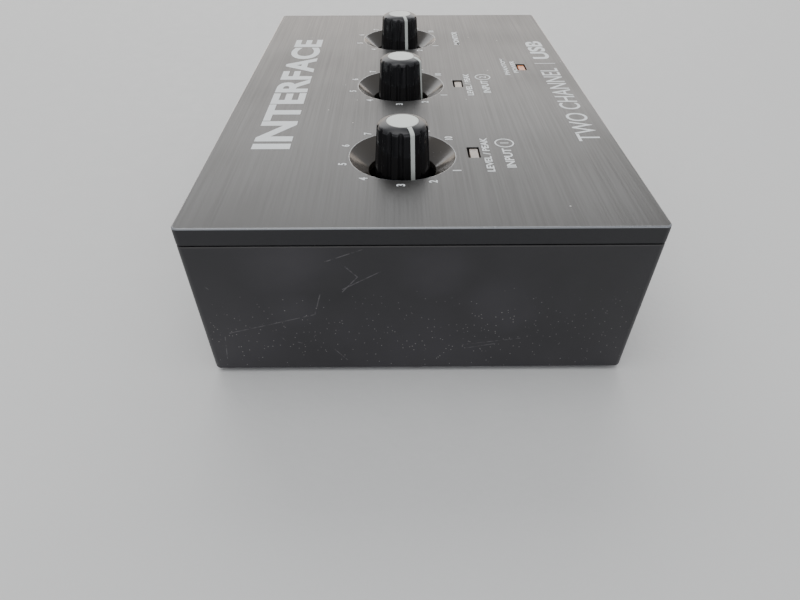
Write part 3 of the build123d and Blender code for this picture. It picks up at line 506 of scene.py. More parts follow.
def outline(inset, z):
    step = leanAt(z) + inset
    corner = max(caseShape["cornerRadius"] - inset, caseShape["leastCorner"])
    return [Vector((boxMid.x + u, boxMid.y + v, z))
            for u, v in roundedRect(halfX - step, halfY - step, corner, caseShape["cornerSteps"])]


# the outline's four long sides come after each corner's last point: rear, left, front, right
sideAfter = {name: caseShape["cornerSteps"] + (caseShape["cornerSteps"] + 1) * k
             for k, name in enumerate(("rear", "left", "front", "right"))}


def lofted(bm, path, skips=None, slotOf=None):
    loops = [ringOf(bm, outline(inset, z)) for inset, z in path]
    for i, (one, other) in enumerate(zip(loops, loops[1:])):
        skinned(bm, one, other, slotOf(i) if slotOf else 0, skip=(skips or {}).get(i, ()))
    return loops


# rounded rectangles skinned along an axis; path is (growth, place along the axis), half is their half size
def barrelled(bm, path, mid, half, corner, axis="Z"):
    loops = []
    for grow, along in path:
        flat = roundedRect(half[0] + grow, half[1] + grow, corner + grow, 4)
        places = [(mid[0] + u, mid[1] + v) for u, v in flat]
        loops.append(ringOf(bm, [Vector((u, v, along) if axis == "Z" else (u, along, v)) for u, v in places]))
    for one, other in zip(loops, loops[1:]):
        skinned(bm, one, other)
    return loops


def buildCover():
    bm = bmesh.new()
    low = seamMid + caseShape["seamGap"] / 2
    under = topZ - caseShape["wall"]
    lipTop = baseHigh.z + caseShape["lipGap"]
    thin = caseShape["wall"] - caseShape["lipWall"] - caseShape["lipClear"]
    path = softened([
        (2 * mm, topZ), (0.0, topZ, caseShape["topEdge"]), (0.0, low, caseShape["seamEdgeHighlight"]),
        (thin, low), (thin, lipTop), (caseShape["wall"], lipTop), (caseShape["wall"], under)])[1:]
    # the top edge's fillet takes the painted highlight, and the rim below it the plastic painted darker as
    # shade
    shell = lofted(bm, path, slotOf=lambda i: 2 if i < 5 else 3)
    topHoles, underHoles = [shell[0]], [shell[-1]]
    for mid in dialMids:
        lowZ = topZ - wellShape["depth"]
        plateZ = lowZ - wellShape["skin"]
        spread = (wellShape["rim"] - wellShape["low"]) / wellShape["depth"]
        outer = wellShape["low"] + wellShape["lowWall"]
        profile = softened([
            (wellShape["rim"] + 2 * mm, topZ), (wellShape["rim"], topZ, wellShape["rimEdge"]),
            (wellShape["low"], lowZ, wellShape["lowEdge"]), (wellShape["low"], plateZ), (outer, plateZ),
            (outer + spread * (under - plateZ), under)])[1:]
        # the well's rim fillet takes the painted highlight, and its cone the painted reflection tint
        loops = turned(bm, profile, mid, count=160, slotOf=lambda i: 2 if i < 3 else (1 if i < 12 else 0))
        topHoles.append(loops[0])
        underHoles.append(loops[-1])
    for lens in lensMids:
        spot = (lens.x, lens.y + windowShape["shiftY"])
        path = softened([(1 * mm, topZ), (0.0, topZ, windowShape["edge"]), (0.0, under)], 3)[1:]
        half = (windowShape["length"] / 2, windowShape["width"] / 2)
        loops = barrelled(bm, path, spot, half, windowShape["corner"])
        topHoles.append(loops[0])
        underHoles.append(loops[-1])
    plate(bm, topHoles)
    plate(bm, underHoles)
    return finished("cover", bm, [coverPlastic, wellGloss, glossyEdgeHighlight, rimShadedPlastic])


fitted(buildCover(), node="top_cover")
print("cover built")


# openings in the two leaning walls: the piece each one is for, and its radius or half size
frontHoles = [
    {"at": "combo_socket_housing", "radius": 12.2 * mm},
    {"at": "instrument_jack_ferrule", "radius": 6.0 * mm},
    {"at": "phantom_button", "radius": 3.6 * mm},
    {"at": "headphone_jack", "radius": 4.2 * mm},
    {"at": "line_switch_frame", "half": (3.6 * mm, 1.6 * mm)},
    {"at": "monitor_switch_frame", "half": (3.6 * mm, 1.6 * mm)},
]
rearHoles = [
    {"at": "left_output_barrel", "radius": 4.6 * mm}, {"at": "right_output_barrel", "radius": 4.6 * mm},
    {"at": "usb_socket_shell", "half": (6.2 * mm, 5.65 * mm)},
    {"at": "lock", "half": (3.5 * mm, 1.6 * mm), "corner": 1.0 * mm},
]
postShape = {"radius": 4.0 * mm, "bore": 1.65 * mm, "top": 9.9 * mm, "recess": 3.0 * mm, "seat": 3.0 * mm,
             "headRadius": 2.8 * mm, "footRadius": 6.0 * mm, "footGap": 0.1 * mm}


def holeLoops(bm, side, hole):
    mid = lockPlace if hole["at"] == "lock" else middle(hole["at"])
    z = jackZ if side == "front" else mid.z
    path = softened([(2 * mm, 0.0), (0.0, 0.0, caseShape["holeEdge"]), (0.0, caseShape["wall"])], 4)[1:]
    loops = []
    for grow, depth in path:
        if "radius" in hole:
            flat = [(p.x, p.z) for p in circle((mid.x, z), hole["radius"] + grow, "Y", 0.0, 96)]
        else:
            halfU, halfV = hole["half"]
            corner = hole.get("corner", 0.3 * mm) + grow
            flat = [(mid.x + u, z + v) for u, v in roundedRect(halfU + grow, halfV + grow, corner, 5)]
        loops.append(ringOf(bm, [Vector((x, wallY(side, h, depth), h)) for x, h in flat]))
    for one, other in zip(loops, loops[1:]):
        skinned(bm, one, other)
    return loops[0], loops[-1]


def sidePanel(bm, upper, lower, side, holes):
    i = sideAfter[side]
    j = (i + 1) % len(upper)
    plate(bm, [[upper[i], upper[j], lower[j], lower[i]]] + holes)


def cornerPlaces(name, radius):
    low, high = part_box(name)
    reachX, reachY = (high.x - low.x) / 2 - radius, (high.y - low.y) / 2 - radius
    return [(boxMid.x + sx * reachX, boxMid.y + sy * reachY) for sx in (-1, 1) for sy in (-1, 1)]


def buildBase():
    bm = bmesh.new()
    seam = seamMid - caseShape["seamGap"] / 2
    underZ, floorZ, lipTop = baseLow.z, baseLow.z + caseShape["floor"], baseHigh.z
    wall, lip = caseShape["wall"], caseShape["wall"] - caseShape["lipWall"]
    path = softened([
        (wall, floorZ), (wall, lipTop - 3.5 * mm), (wall, lipTop), (lip, lipTop), (lip, seam),
        (0.0, seam, caseShape["baseEdge"]), (0.0, underZ, caseShape["footEdge"]), (6 * mm, underZ)], 6)[:-1]
    outer = next(i for i, p in enumerate(path) if p[1] < seam - 0.25 * mm and p[0] < 0.01 * mm and i > 5)
    panels = (sideAfter["front"], sideAfter["rear"])
    # the fillet at the base's top edge takes the painted highlight
    shell = lofted(bm, path, {0: panels, outer: panels}, lambda i: 1 if 4 < i < outer else 0)
    for side, holes in (("front", frontHoles), ("rear", rearHoles)):
        outside, inside = zip(*[holeLoops(bm, side, hole) for hole in holes])
        sidePanel(bm, shell[outer], shell[outer + 1], side, list(outside))
        sidePanel(bm, shell[1], shell[0], side, list(inside))
    under, inner = [shell[-1]], [shell[0]]
    post = postShape
    footR = post["footRadius"] + post["footGap"]
    for footMid in cornerPlaces("rubber_feet", post["footRadius"]):
        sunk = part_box("rubber_feet")[1].z
        profile = softened([
            (footR + 1 * mm, underZ), (footR, underZ, 0.15 * mm), (footR, sunk, 0.1 * mm), (0.0, sunk)], 3)
        under.append(turned(bm, profile[1:], footMid, count=64)[0])
    for screwMid in cornerPlaces("cover_screws", post["headRadius"]):
        seat = underZ + post["seat"]
        profile = softened([
            (4 * mm, underZ), (post["recess"], underZ, 0.15 * mm), (post["recess"], seat),
            (post["bore"], seat), (post["bore"], post["top"]), (post["radius"], post["top"]),
            (post["radius"], floorZ)], 3)
        loops = turned(bm, profile[1:], screwMid, count=48)
        under.append(loops[0])
        inner.append(loops[-1])
    plate(bm, under)
    plate(bm, inner)
    return finished("baseShell", bm, [casePlastic, seamEdgeHighlight])


fitted(buildBase(), node="base_shell")
print("base built")


def newTree(name, inputs):
    tree = bpy.data.node_groups.new(name, "GeometryNodeTree")
    tree.interface.new_socket("Geometry", in_out="INPUT", socket_type="NodeSocketGeometry")
    for label, kind in inputs:
        tree.interface.new_socket(label, in_out="INPUT", socket_type="NodeSocket" + kind)
    tree.interface.new_socket("Geometry", in_out="OUTPUT", socket_type="NodeSocketGeometry")
    return tree, tree.nodes.new("NodeGroupInput").outputs, tree.nodes.new("NodeGroupOutput").inputs


# realizes, sets the finish and joins the tree's output
def endTree(tree, geometry, finish, outputs):
    realized = put(tree, "GeometryNodeRealizeInstances", None, in0=geometry).outputs[0]
    painted = put(tree, "GeometryNodeSetMaterial", None, Geometry=realized, Material=finish).outputs[0]
    tree.links.new(painted, outputs[0])


# runs a tree on an object, keeps the result as a plain mesh and takes the modifier off
def grown(made, tree, values):
    modifier = made.modifiers.new(tree.name, "NODES")
    modifier.node_group = tree
    for item in tree.interface.items_tree:
        if item.in_out == "INPUT" and item.name in values:
            modifier[item.identifier] = values[item.name]
    depsgraph = bpy.context.evaluated_depsgraph_get()
    mesh = bpy.data.meshes.new_from_object(made.evaluated_get(depsgraph), depsgraph=depsgraph)
    made.modifiers.remove(modifier)
    old = made.data
    made.data = mesh
    mesh.name = made.name
    bpy.data.meshes.remove(old)
    return made


def placed(made, matrix):
    made.data.transform(matrix)
    made.data.update()
    return made


def creased(made, degrees=40):
    made.data.shade_smooth()
    made.data.set_sharp_from_angle(angle=math.radians(degrees))
    return made


# repeats the piece it is given at the points of a mesh
def copiedTo(tree, given, mesh):
    spots = put(tree, "GeometryNodeMeshToPoints", None, Mesh=mesh).outputs[0]
    made = put(tree, "GeometryNodeInstanceOnPoints", None, Points=spots, Instance=given["Geometry"])
    return made.outputs[0]


# sets one modelled piece at the corners of a rectangle
def cornerTree():
    sockets = [("Spacing X", "Float"), ("Spacing Y", "Float"), ("Finish", "Material")]
    tree, given, out = newTree("fourCorners", sockets)
    grid = put(tree, "GeometryNodeMeshGrid", None, Size_X=given["Spacing X"], Size_Y=given["Spacing Y"],
               Vertices_X=2, Vertices_Y=2)
    endTree(tree, copiedTo(tree, given, grid.outputs["Mesh"]), given["Finish"], out)
    return tree


# repeats one modelled piece in a straight row from left to right
def rowTree():
    sockets = [("Count", "Int"), ("Gap", "Float"), ("Start", "Float"), ("Finish", "Material")]
    tree, given, out = newTree("row", sockets)
    gap = put(tree, "ShaderNodeCombineXYZ", None, X=given["Gap"]).outputs[0]
    start = put(tree, "ShaderNodeCombineXYZ", None, X=given["Start"]).outputs[0]
    line = put(tree, "GeometryNodeMeshLine", None, Count=given["Count"], Start_Location=start, Offset=gap)
    endTree(tree, copiedTo(tree, given, line.outputs[0]), given["Finish"], out)
    return tree


fourCorners, row = cornerTree(), rowTree()

# runs the corner tree on a piece, spread so that the four fill the node's box
def setFour(piece, node, radius, finish, degrees):
    low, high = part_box(node)
    spread = {"Spacing X": high.x - low.x - 2 * radius, "Spacing Y": high.y - low.y - 2 * radius}
    creased(grown(piece, fourCorners, {**spread, "Finish": finish}), degrees)
    placed(piece, Matrix.Translation((boxMid.x, boxMid.y, low.z)))


# one soft-edged pad with a shallow dimple under it, set four times
footShape = {"edge": 0.35 * mm, "dimple": 4.2 * mm, "dimpleSlope": 0.25 * mm, "dimpleDeep": 0.12 * mm}


def buildFeet():
    low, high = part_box("rubber_feet")
    k, radius, tall = footShape, postShape["footRadius"], high.z - low.z
    bm = bmesh.new()
    profile = softened([
        (0, k["dimpleDeep"]), (k["dimple"], k["dimpleDeep"], 0.1 * mm),
        (k["dimple"] + k["dimpleSlope"], 0.0, 0.1 * mm), (radius, 0.0, k["edge"]),
        (radius, tall), (0, tall)], 4)
    turned(bm, profile, (0, 0), count=64)
    feet = finished("rubberFeet", bm, [footRubber])
    setFour(feet, "rubber_feet", radius, footRubber, 40)
    fitted(feet, node="rubber_feet")


# a round-headed screw with a cross recess; shank and tip are radii
screwShape = {
    "head": 2.8 * mm, "headTall": 1.8 * mm, "edge": 0.35 * mm, "shank": 1.5 * mm, "tip": 0.9 * mm,
    "point": 1 * mm, "crossLong": 1.7 * mm, "crossHalf": 0.32 * mm, "crossDeep": 0.9 * mm,
    "crossTaper": (0.55, 0.8),
}


# a cross outline round the origin, for the recess of a screw
def crossOutline(long, half):
    points = []
    for k in range(4):
        turn = Matrix.Rotation(math.pi / 2 * k, 2)
        points += [turn @ Vector(p) for p in ((long, -half), (long, half), (half, half))]
    return points


def buildCoverScrews():
    low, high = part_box("cover_screws")
    tall, k = high.z - low.z, screwShape
    bm = bmesh.new()
    profile = softened([
        (1.2 * mm, 0.0), (k["head"], 0.0, k["edge"]), (k["head"], k["headTall"]), (k["shank"], k["headTall"]),
        (k["shank"], tall - k["point"]), (k["tip"], tall), (0, tall)], 5)
    loops = turned(bm, profile[1:], (0, 0), count=48)
    cross = crossOutline(k["crossLong"], k["crossHalf"])
    taperU, taperV = k["crossTaper"]
    mouth = ringOf(bm, [Vector((p.x, p.y, 0.0)) for p in cross])
    depth = ringOf(bm, [Vector((p.x * taperU, p.y * taperV, k["crossDeep"])) for p in cross])
    plate(bm, [loops[0], mouth])
    skinned(bm, mouth, depth, smooth=False)
    bm.faces.new(depth)
    screws = finished("coverScrews", bm, [blackZinc])
    setFour(screws, "cover_screws", k["head"], blackZinc, 32)
    fitted(screws, node="cover_screws")


buildFeet()
buildCoverScrews()
print("feet and screws built")


knobLow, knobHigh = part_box("input_1_knob")
knobShape = {
    "faceRadius": 4.4 * mm, "shoulderRadius": 6.6 * mm, "shoulderDrop": 1.5 * mm, "baseRadius": 7.4 * mm,
    "height": knobHigh.z - knobLow.z, "discRadius": 4.1 * mm, "discSunk": 0.4 * mm, "discGap": 0.03 * mm,
    "hollowRadius": 5.8 * mm, "hollowDeep": 7 * mm, "footEdge": 0.15 * mm,
    "grooves": 14, "grooveRadius": 0.85 * mm, "grooveOut": 0.35 * mm, "grooveTopDrop": 0.95 * mm,
    "softness": 0.07 * mm, "columnsPerGroove": 26,
    "pointerWidth": 1.15 * mm, "pointerProud": 0.1 * mm, "pointerDeep": 0.25 * mm, "pointerFlare": 1.5 * mm,
    "flareLength": 1.3 * mm, "pointerOverlap": 0.5 * mm,
}


def bezier(a, b, c, d, steps):
    points = []
    for k in range(steps + 1):
        t = k / steps
        shares = ((1 - t) ** 3, 3 * t * (1 - t) ** 2, 3 * t * t * (1 - t), t ** 3)
        points.append(sum((share * Vector(p) for share, p in zip(shares, (a, b, c, d))), Vector((0, 0))))
    return points


# the knob's outside from the edge of its face to its foot, as (radius, height below the top)
def knobSide(shoulderSteps=16, sideSteps=34):
    k = knobShape
    shoulder = bezier((k["faceRadius"], 0), (k["faceRadius"] + 0.95 * mm, -0.28 * mm),
                      (k["shoulderRadius"] - 0.05 * mm, -k["shoulderDrop"] + 0.75 * mm),
                      (k["shoulderRadius"], -k["shoulderDrop"]), shoulderSteps)
    foot = Vector((k["baseRadius"], -k["height"]))
    run = foot - shoulder[-1]
    side = [shoulder[-1] + run * (i / sideSteps) ** 1.3 for i in range(1, sideSteps + 1)]
    return shoulder + side


# cuts the round-ended grip grooves into a turned knob; the place of the pointer stays whole
def grooveTree():
    tree, given, out = newTree("gripGrooves", [
        ("Count", "Float"), ("Groove radius", "Float"), ("Axis radius at top", "Float"), ("Lean", "Float"),
        ("Groove top", "Float"), ("Softness", "Float"), ("Finish", "Material")])
    place = put(tree, "GeometryNodeInputPosition").outputs[0]
    x, y, z = put(tree, "ShaderNodeSeparateXYZ", None, in0=place).outputs
    radius = maths(tree, "SQRT", maths(tree, "ADD", times(tree, x, x), times(tree, y, y)))
    pitch = maths(tree, "DIVIDE", 2 * math.pi, given["Count"])
    sector = maths(tree, "DIVIDE", maths(tree, "ARCTAN2", x, y), pitch)
    nearest = maths(tree, "ROUND", sector)
    offAngle = times(tree, maths(tree, "SUBTRACT", sector, nearest), pitch)
    below = maths(tree, "SUBTRACT", given["Groove top"], z)
    axisRadius = maths(tree, "MULTIPLY_ADD", below, given["Lean"], given["Axis radius at top"])
    across = times(tree, maths(tree, "SINE", offAngle), axisRadius)
    above = maths(tree, "MAXIMUM", times(tree, below, -1.0), 0.0)
    room = times(tree, given["Groove radius"], given["Groove radius"])
    room = maths(tree, "SUBTRACT", room, times(tree, across, across))
    room = maths(tree, "SUBTRACT", room, times(tree, above, above))
    bite = maths(tree, "SUBTRACT", axisRadius, maths(tree, "SQRT", maths(tree, "MAXIMUM", room, 0.0)))
    pointer = maths(tree, "LESS_THAN", maths(tree, "ABSOLUTE", nearest), 0.5)
    bite = maths(tree, "ADD", bite, times(tree, pointer, 10 * mm))  # out of the knob's reach
    cut = maths(tree, "SMOOTH_MIN", radius, bite, given["Softness"])
    share = maths(tree, "DIVIDE", cut, maths(tree, "MAXIMUM", radius, 0.00001))
    moved = put(tree, "ShaderNodeCombineXYZ", None, X=times(tree, x, share), Y=times(tree, y, share), Z=z)
    shaped = put(tree, "GeometryNodeSetPosition", None, Geometry=given["Geometry"], Position=moved.outputs[0])
    endTree(tree, shaped.outputs[0], given["Finish"], out)
    return tree


def turnedKnob():
    k = knobShape
    bm = bmesh.new()
    disc = k["discRadius"] + k["discGap"]
    profile = [Vector((0, -k["discSunk"])), Vector((disc, -k["discSunk"])), Vector((disc, -0.04 * mm)),
               Vector((disc + 0.06 * mm, 0.0))] + knobSide()
    foot = -k["height"]
    hollowTop = foot + k["hollowDeep"]
    profile[-1] = Vector((k["baseRadius"], foot + k["footEdge"]))
    profile += [Vector((k["baseRadius"] - k["footEdge"], foot)), Vector((k["hollowRadius"], foot)),
                Vector((k["hollowRadius"], hollowTop)), Vector((0, hollowTop))]
    turned(bm, profile, (0, 0), count=k["grooves"] * k["columnsPerGroove"])
    return bm


# the white insert: a disc and a line that follows the knob's outside
def buildMarkerShape():
    k = knobShape
    bm = bmesh.new()
    disc = [(0, 0), (k["discRadius"], 0, 0.06 * mm), (k["discRadius"], -k["discSunk"]), (0, -k["discSunk"])]
    turned(bm, softened(disc, 4), (0, 0), count=96)
    innerEnd = k["discRadius"] - k["pointerOverlap"]
    path = [Vector((innerEnd, -0.06 * mm))] + knobSide(16, 6)
    rings = []
    for i, point in enumerate(path):
        back, ahead = path[max(i - 1, 0)], path[min(i + 1, len(path) - 1)]
        along = (ahead - back).normalized()
        outward = Vector((-along.y, along.x))
        if outward.dot(Vector((1, 1))) < 0:
            outward = -outward
        near = max(0.0, 1 - (point.x - innerEnd) / k["flareLength"])
        half = k["pointerWidth"] / 2 + k["pointerFlare"] / 2 * near ** 2
        proud = k["pointerProud"] * min(1.0, i / 4)
        section = []
        for u, v in ((-half, -k["pointerDeep"]), (-half, proud * 0.4), (-half * 0.93, proud), (0, proud),
                     (half * 0.93, proud), (half, proud * 0.4), (half, -k["pointerDeep"])):
            belowTop = min(point.y + outward.y * v, -0.01 * mm)
            section.append(Vector((u, point.x + outward.x * v, belowTop)))
        rings.append(ringOf(bm, section))
    for one, other in zip(rings, rings[1:]):
        skinned(bm, one, other)
    for end in (rings[0], rings[-1]):
        bm.faces.new(end)
    return bm


# clockwise from the rear, read from the far points of the CAD marker's line
def restAngle(name):
    mid = middle(name + "_knob")
    marker = cadNodes[name + "_knob_marker"]
    offs = [marker.matrix_world @ v.co - mid for v in marker.data.vertices]
    far = [off for off in offs if math.hypot(off.x, off.y) > knobShape["shoulderRadius"]]
    return math.atan2(sum(off.x for off in far), sum(off.y for off in far))


def buildDials():
    k = knobShape
    tree = grooveTree()
    lean = (k["baseRadius"] - k["shoulderRadius"]) / (k["height"] - k["shoulderDrop"])
    values = {"Count": float(k["grooves"]), "Groove radius": k["grooveRadius"], "Lean": lean,
              "Axis radius at top": k["shoulderRadius"] + k["grooveOut"], "Groove top": -k["grooveTopDrop"],
              "Softness": k["softness"], "Finish": knobGloss}
    for name, mid in zip(dialNames, dialMids):
        spot = Vector((mid.x, middle(name + "_knob").y, knobHigh.z))
        matrix = Matrix.Translation(spot) @ Matrix.Rotation(-restAngle(name), 4, "Z")
        knob = finished(name + "Knob", turnedKnob(), [knobGloss], 50)
        creased(placed(grown(knob, tree, values), matrix), 50)
        marker = placed(finished(name + "Marker", buildMarkerShape(), [markerWhite], 50), matrix)
        fitted(knob, name + "_dial", name + "_knob")
        fitted(marker, name + "_dial", name + "_knob_marker")


buildDials()
print("dials built")


lensShape = {"edge": 0.18 * mm, "corner": 0.35 * mm}


def addLens(bm, mid, z):
    path = softened([(-1 * mm, z), (0.0, z, lensShape["edge"]), (0.0, z - lensSize.z)], 4)[1:]
    loops = barrelled(bm, path, mid, lensSize / 2, lensShape["corner"])
    plate(bm, [loops[0]])
    plate(bm, [loops[-1]])


def buildLenses():
    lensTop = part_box("phantom_led_lens")[1].z
    for name, node, mids, material, slotName in (
            ("signalLenses", "signal_led_lenses", lensMids[:2], signalLens, "signal_lens"),
            ("phantomLens", "phantom_led_lens", lensMids[2:], phantomLens, "phantom_lens")):
        bm = bmesh.new()
        for mid in mids:
            addLens(bm, mid, lensTop)
        fitted(finished(name, bm, [material]), node=node)


buildLenses()
print("lenses built")


# the button's cap is soft-edged with a shallow dish; the plunger goes back into the switch
buttonShape = {
    "edge": 0.6 * mm, "backEdge": 0.2 * mm, "dish": 2.2 * mm, "dishEdge": 0.5 * mm, "dishDeep": 0.3 * mm,
    "dishRim": 0.04 * mm, "proud": 3.0 * mm, "skirt": 4.5 * mm, "plunger": 1.6 * mm,
}


def buildButton():
    k = buttonShape
    low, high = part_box("phantom_button")
    mid = middle("phantom_button")
    radius = (high.x - low.x) / 2
    skirtEnd = low.y + k["proud"] + k["skirt"]
    bm = bmesh.new()
    profile = softened([
        (0, low.y + k["dishDeep"]), (k["dish"], low.y + k["dishRim"], k["dishEdge"]),
        (radius, low.y, k["edge"]), (radius, skirtEnd, k["backEdge"]), (k["plunger"], skirtEnd),
        (k["plunger"], high.y, k["backEdge"]), (0, high.y)], 6)
    turned(bm, profile, (mid.x, mid.z), "Y", 72)
    fitted(finished("phantomButton", bm, [buttonSatin]), "phantom_push", "phantom_button")


# a slider: a stem with grip ribs across its face, on a runner that fills the rest of the node's box
sliderShape = {
    "stem": 3.0 * mm, "tall": 2.4 * mm, "corner": 0.3 * mm, "edge": 0.25 * mm, "runner": 1.4 * mm,
    "overlap": 0.2 * mm, "ribs": 4, "ribGap": 0.62 * mm, "ribHalf": 0.16 * mm, "ribProud": 0.16 * mm,
    "ribShort": 0.15 * mm,
}


def ribLump(k):
    bm = bmesh.new()
    half, tall = k["ribHalf"], k["tall"] / 2 - k["ribShort"]
    corners = [(-half, k["ribProud"]), (-half * 0.5, 0.0), (half * 0.5, 0.0), (half, k["ribProud"])]
    ends = [ringOf(bm, [Vector((u, v, z)) for u, v in corners]) for z in (-tall, tall)]
    skinned(bm, *ends, smooth=False)
    for end in ends:
        bm.faces.new(end)
    return bm


def buildSliders():
    k = sliderShape
    ribRow = {"Count": k["ribs"], "Gap": k["ribGap"], "Start": -k["ribGap"] * (k["ribs"] - 1) / 2,
              "Finish": socketPlastic}
    for name in ("line", "monitor"):
        low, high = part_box(name + "_switch_slider")
        mid = (low + high) / 2
        face = low.y + k["ribProud"]
        bm = bmesh.new()
        stemEnd = high.y - k["runner"] + k["overlap"]
        path = softened([(-0.5 * mm, face), (0.0, face, k["edge"]), (0.0, stemEnd)], 4)[1:]
        stem = barrelled(bm, path, (mid.x, mid.z), (k["stem"] / 2, k["tall"] / 2), k["corner"], "Y")
        runner = barrelled(bm, [(0.0, high.y - k["runner"]), (0.0, high.y)], (mid.x, mid.z),
                           ((high.x - low.x) / 2, (high.z - low.z) / 2), k["corner"], "Y")
        for end in (stem[0], stem[-1], *runner):
            bm.faces.new(end)
        slider = finished(name + "Slider", bm, [socketPlastic])
        ribs = grown(finished(name + "SliderRibs", ribLump(k), [socketPlastic]), row, ribRow)
        placed(ribs, Matrix.Translation((mid.x, low.y, mid.z)))
        for piece in (slider, ribs):
            fitted(piece, name + "_slider", name + "_switch_slider")


# output sockets: a plated barrel with a collar and a rolled lip, round a coloured insulator with a pin bore
barrelShape = {
    "inner": 3.3 * mm, "root": 3.7 * mm, "edge": 0.1 * mm, "bandEdge": 0.15 * mm, "lip": 0.35 * mm,
    "lipInner": 0.2 * mm, "waist": 0.35 * mm, "collar": 1.4 * mm, "slope": 0.2 * mm, "lipBand": 1.2 * mm,
    "lipSlope": 0.3 * mm,
}
insulatorShape = {
    "bore": 1.65 * mm, "boreDeep": 9 * mm, "edge": 0.1 * mm, "outerEdge": 0.2 * mm, "rimWide": 0.7 * mm,
    "slope": 0.2 * mm, "sunk": 0.35 * mm, "boreRim": 0.3 * mm,
}


def barrelProfile(k, low, high, radius, face):
    waist, collarEnd, lipStart = radius - k["waist"], face + k["collar"], high - k["lipBand"]
    return softened([
        (k["inner"], low), (k["root"], low), (k["root"], face), (radius, face, k["edge"]),
        (radius, collarEnd, k["bandEdge"]), (waist, collarEnd + k["slope"], k["edge"]),
        (waist, lipStart - k["lipSlope"], k["edge"]), (radius, lipStart, k["bandEdge"]),
        (radius, high, k["lip"]), (k["inner"], high, k["lipInner"]), (k["inner"], low)], 5)


def insulatorProfile(k, low, high, radius):
    rim, floor, lip = radius - k["rimWide"], high - k["sunk"], k["bore"] + k["boreRim"]
    return softened([
        (0, low), (radius, low), (radius, high, k["outerEdge"]), (rim, high, k["edge"]),
        (rim - k["slope"], floor, k["edge"]), (lip + k["slope"], floor, k["edge"]), (lip, high, k["edge"]),
        (k["bore"], high, k["edge"]), (k["bore"], high - k["boreDeep"]), (0, high - k["boreDeep"])], 4)


def buildOutputs():
    for side, material, slotName in (
            ("left", outputWhite, "output_white"), ("right", outputRed, "output_red")):
        barrel, insulator = side + "_output_barrel", side + "_output_insulator"
        low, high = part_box(barrel)
        mid = middle(barrel)
        bm = bmesh.new()
        profile = barrelProfile(barrelShape, low.y, high.y, (high.x - low.x) / 2, wallY("rear", mid.z))
        turned(bm, profile, (mid.x, mid.z), "Y", 80)
        fitted(finished(side + "OutputBarrel", bm, [nickelPlate]), node=barrel)
        low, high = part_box(insulator)
        bm = bmesh.new()
        profile = insulatorProfile(insulatorShape, low.y, high.y, (high.x - low.x) / 2)
        turned(bm, profile, (mid.x, mid.z), "Y", 72)
        fitted(finished(side + "OutputInsulator", bm, [material]), node=insulator)


buildButton()
buildSliders()
buildOutputs()
print("button, sliders and outputs built")


# places, heights and widths of the print are in millimetres; heavy thickens the strokes
inkShape = {
    "thick": 0.012 * mm, "extrude": 0.1, "steps": 5, "narrow": 0.9, "wallHeavy": 0.01,
    "ring": 2.65 * mm, "ringLine": 0.4 * mm,
}
digitShape = {
    "angles": (213, 243, 272, 307, 341.5, 20, 54, 87, 115, 142),  # clockwise from the rear
    "radius": 16.3, "height": 2.15, "heavy": 0.028,
}
labels = [
    ("INTERFACE", (1.4, 39.3), 10.6, 97, 0.035), ("TWO CHANNEL", (-13.5, -47.8), 6.3, 59, 0.002),
    ("USB", (36.5, -47.8), 6.3, 21, 0.032), ("|", (21, -47.8), 7.4, 0.45, 0.0),
    ("MONITOR", (51.5, -18.2), 2.2, 17, 0.028), ("PHANTOM", (17.7, -32.9), 1.6, 16.7, 0.028),
    ("POWER", (17.5, -36.1), 1.6, 12.1, 0.028),
]
ringedDigits = []
for number, dialX in (("1", -50.6), ("2", 0.6)):
    ringed = (dialX + 6.6, -23.9)
    ringedDigits.append(ringed)
    labels += [("LEVEL / PEAK", (dialX, -18.4), 2.0, 19.5, 0.026),
               ("INPUT", (dialX - 2.2, -23.9), 2.4, 10.9, 0.024), (number, ringed, 2.3, None, 0.012)]
# on the walls the place is (across, above the desk), seen from outside
wallLabels = {
    "front": [("INPUT 1", (-56, 38.6), 1.9), ("INPUT 2", (-24, 30.0), 1.9),
              ("INST   LINE", (-3.5, 26.6), 1.6), ("48 V", (17.2, 27.6), 1.9),
              ("DIRECT   USB", (36.5, 26.6), 1.6), ("PHONES", (62, 29.0), 1.9)],
    "rear": [("R", (26, 24.4), 2.2), ("L", (12, 24.4), 2.2), ("MAIN OUT", (19, 28.6), 2.0),
             ("USB", (-54, 24.0), 2.2), ("LOCK", (66, 27.8), 1.6)],
}


# words centred on the origin; width and height are the ink's own
def printed(words, height, width=None, heavy=0.0):
    text = bpy.data.curves.new("ink", "FONT")
    text.body = words
    text.offset = heavy
    text.extrude = inkShape["extrude"]
    text.resolution_u = inkShape["steps"]
    holder = bpy.data.objects.new("ink", text)
    bpy.context.scene.collection.objects.link(holder)
    bpy.context.view_layer.update()
    mesh = bpy.data.meshes.new_from_object(holder.evaluated_get(bpy.context.evaluated_depsgraph_get()))
    bpy.data.objects.remove(holder)
    xs = [v.co.x for v in mesh.vertices]
    ys = [v.co.y for v in mesh.vertices]
    scaleY = height * mm / (max(ys) - min(ys))
    scaleX = width * mm / (max(xs) - min(xs)) if width else scaleY * inkShape["narrow"]
    centred = Matrix.Translation((-(max(xs) + min(xs)) / 2, -(max(ys) + min(ys)) / 2, 0))
    mesh.transform(Matrix.Diagonal((scaleX, scaleY, inkShape["thick"] / inkShape["extrude"], 1)) @ centred)
    return mesh


def ringInk(bm, place):
    mid = (boxMid.x + place[0] * mm, boxMid.y + place[1] * mm)
    radius, line, thick = inkShape["ring"], inkShape["ringLine"], inkShape["thick"]
    turned(bm, [(radius - line, topZ - thick), (radius - line, topZ + thick), (radius, topZ + thick),
                (radius, topZ - thick), (radius - line, topZ - thick)], mid, count=64)


# the matrix that lays words flat on the cover
def onCover(x, y):
    return Matrix.Translation((x, y, topZ))


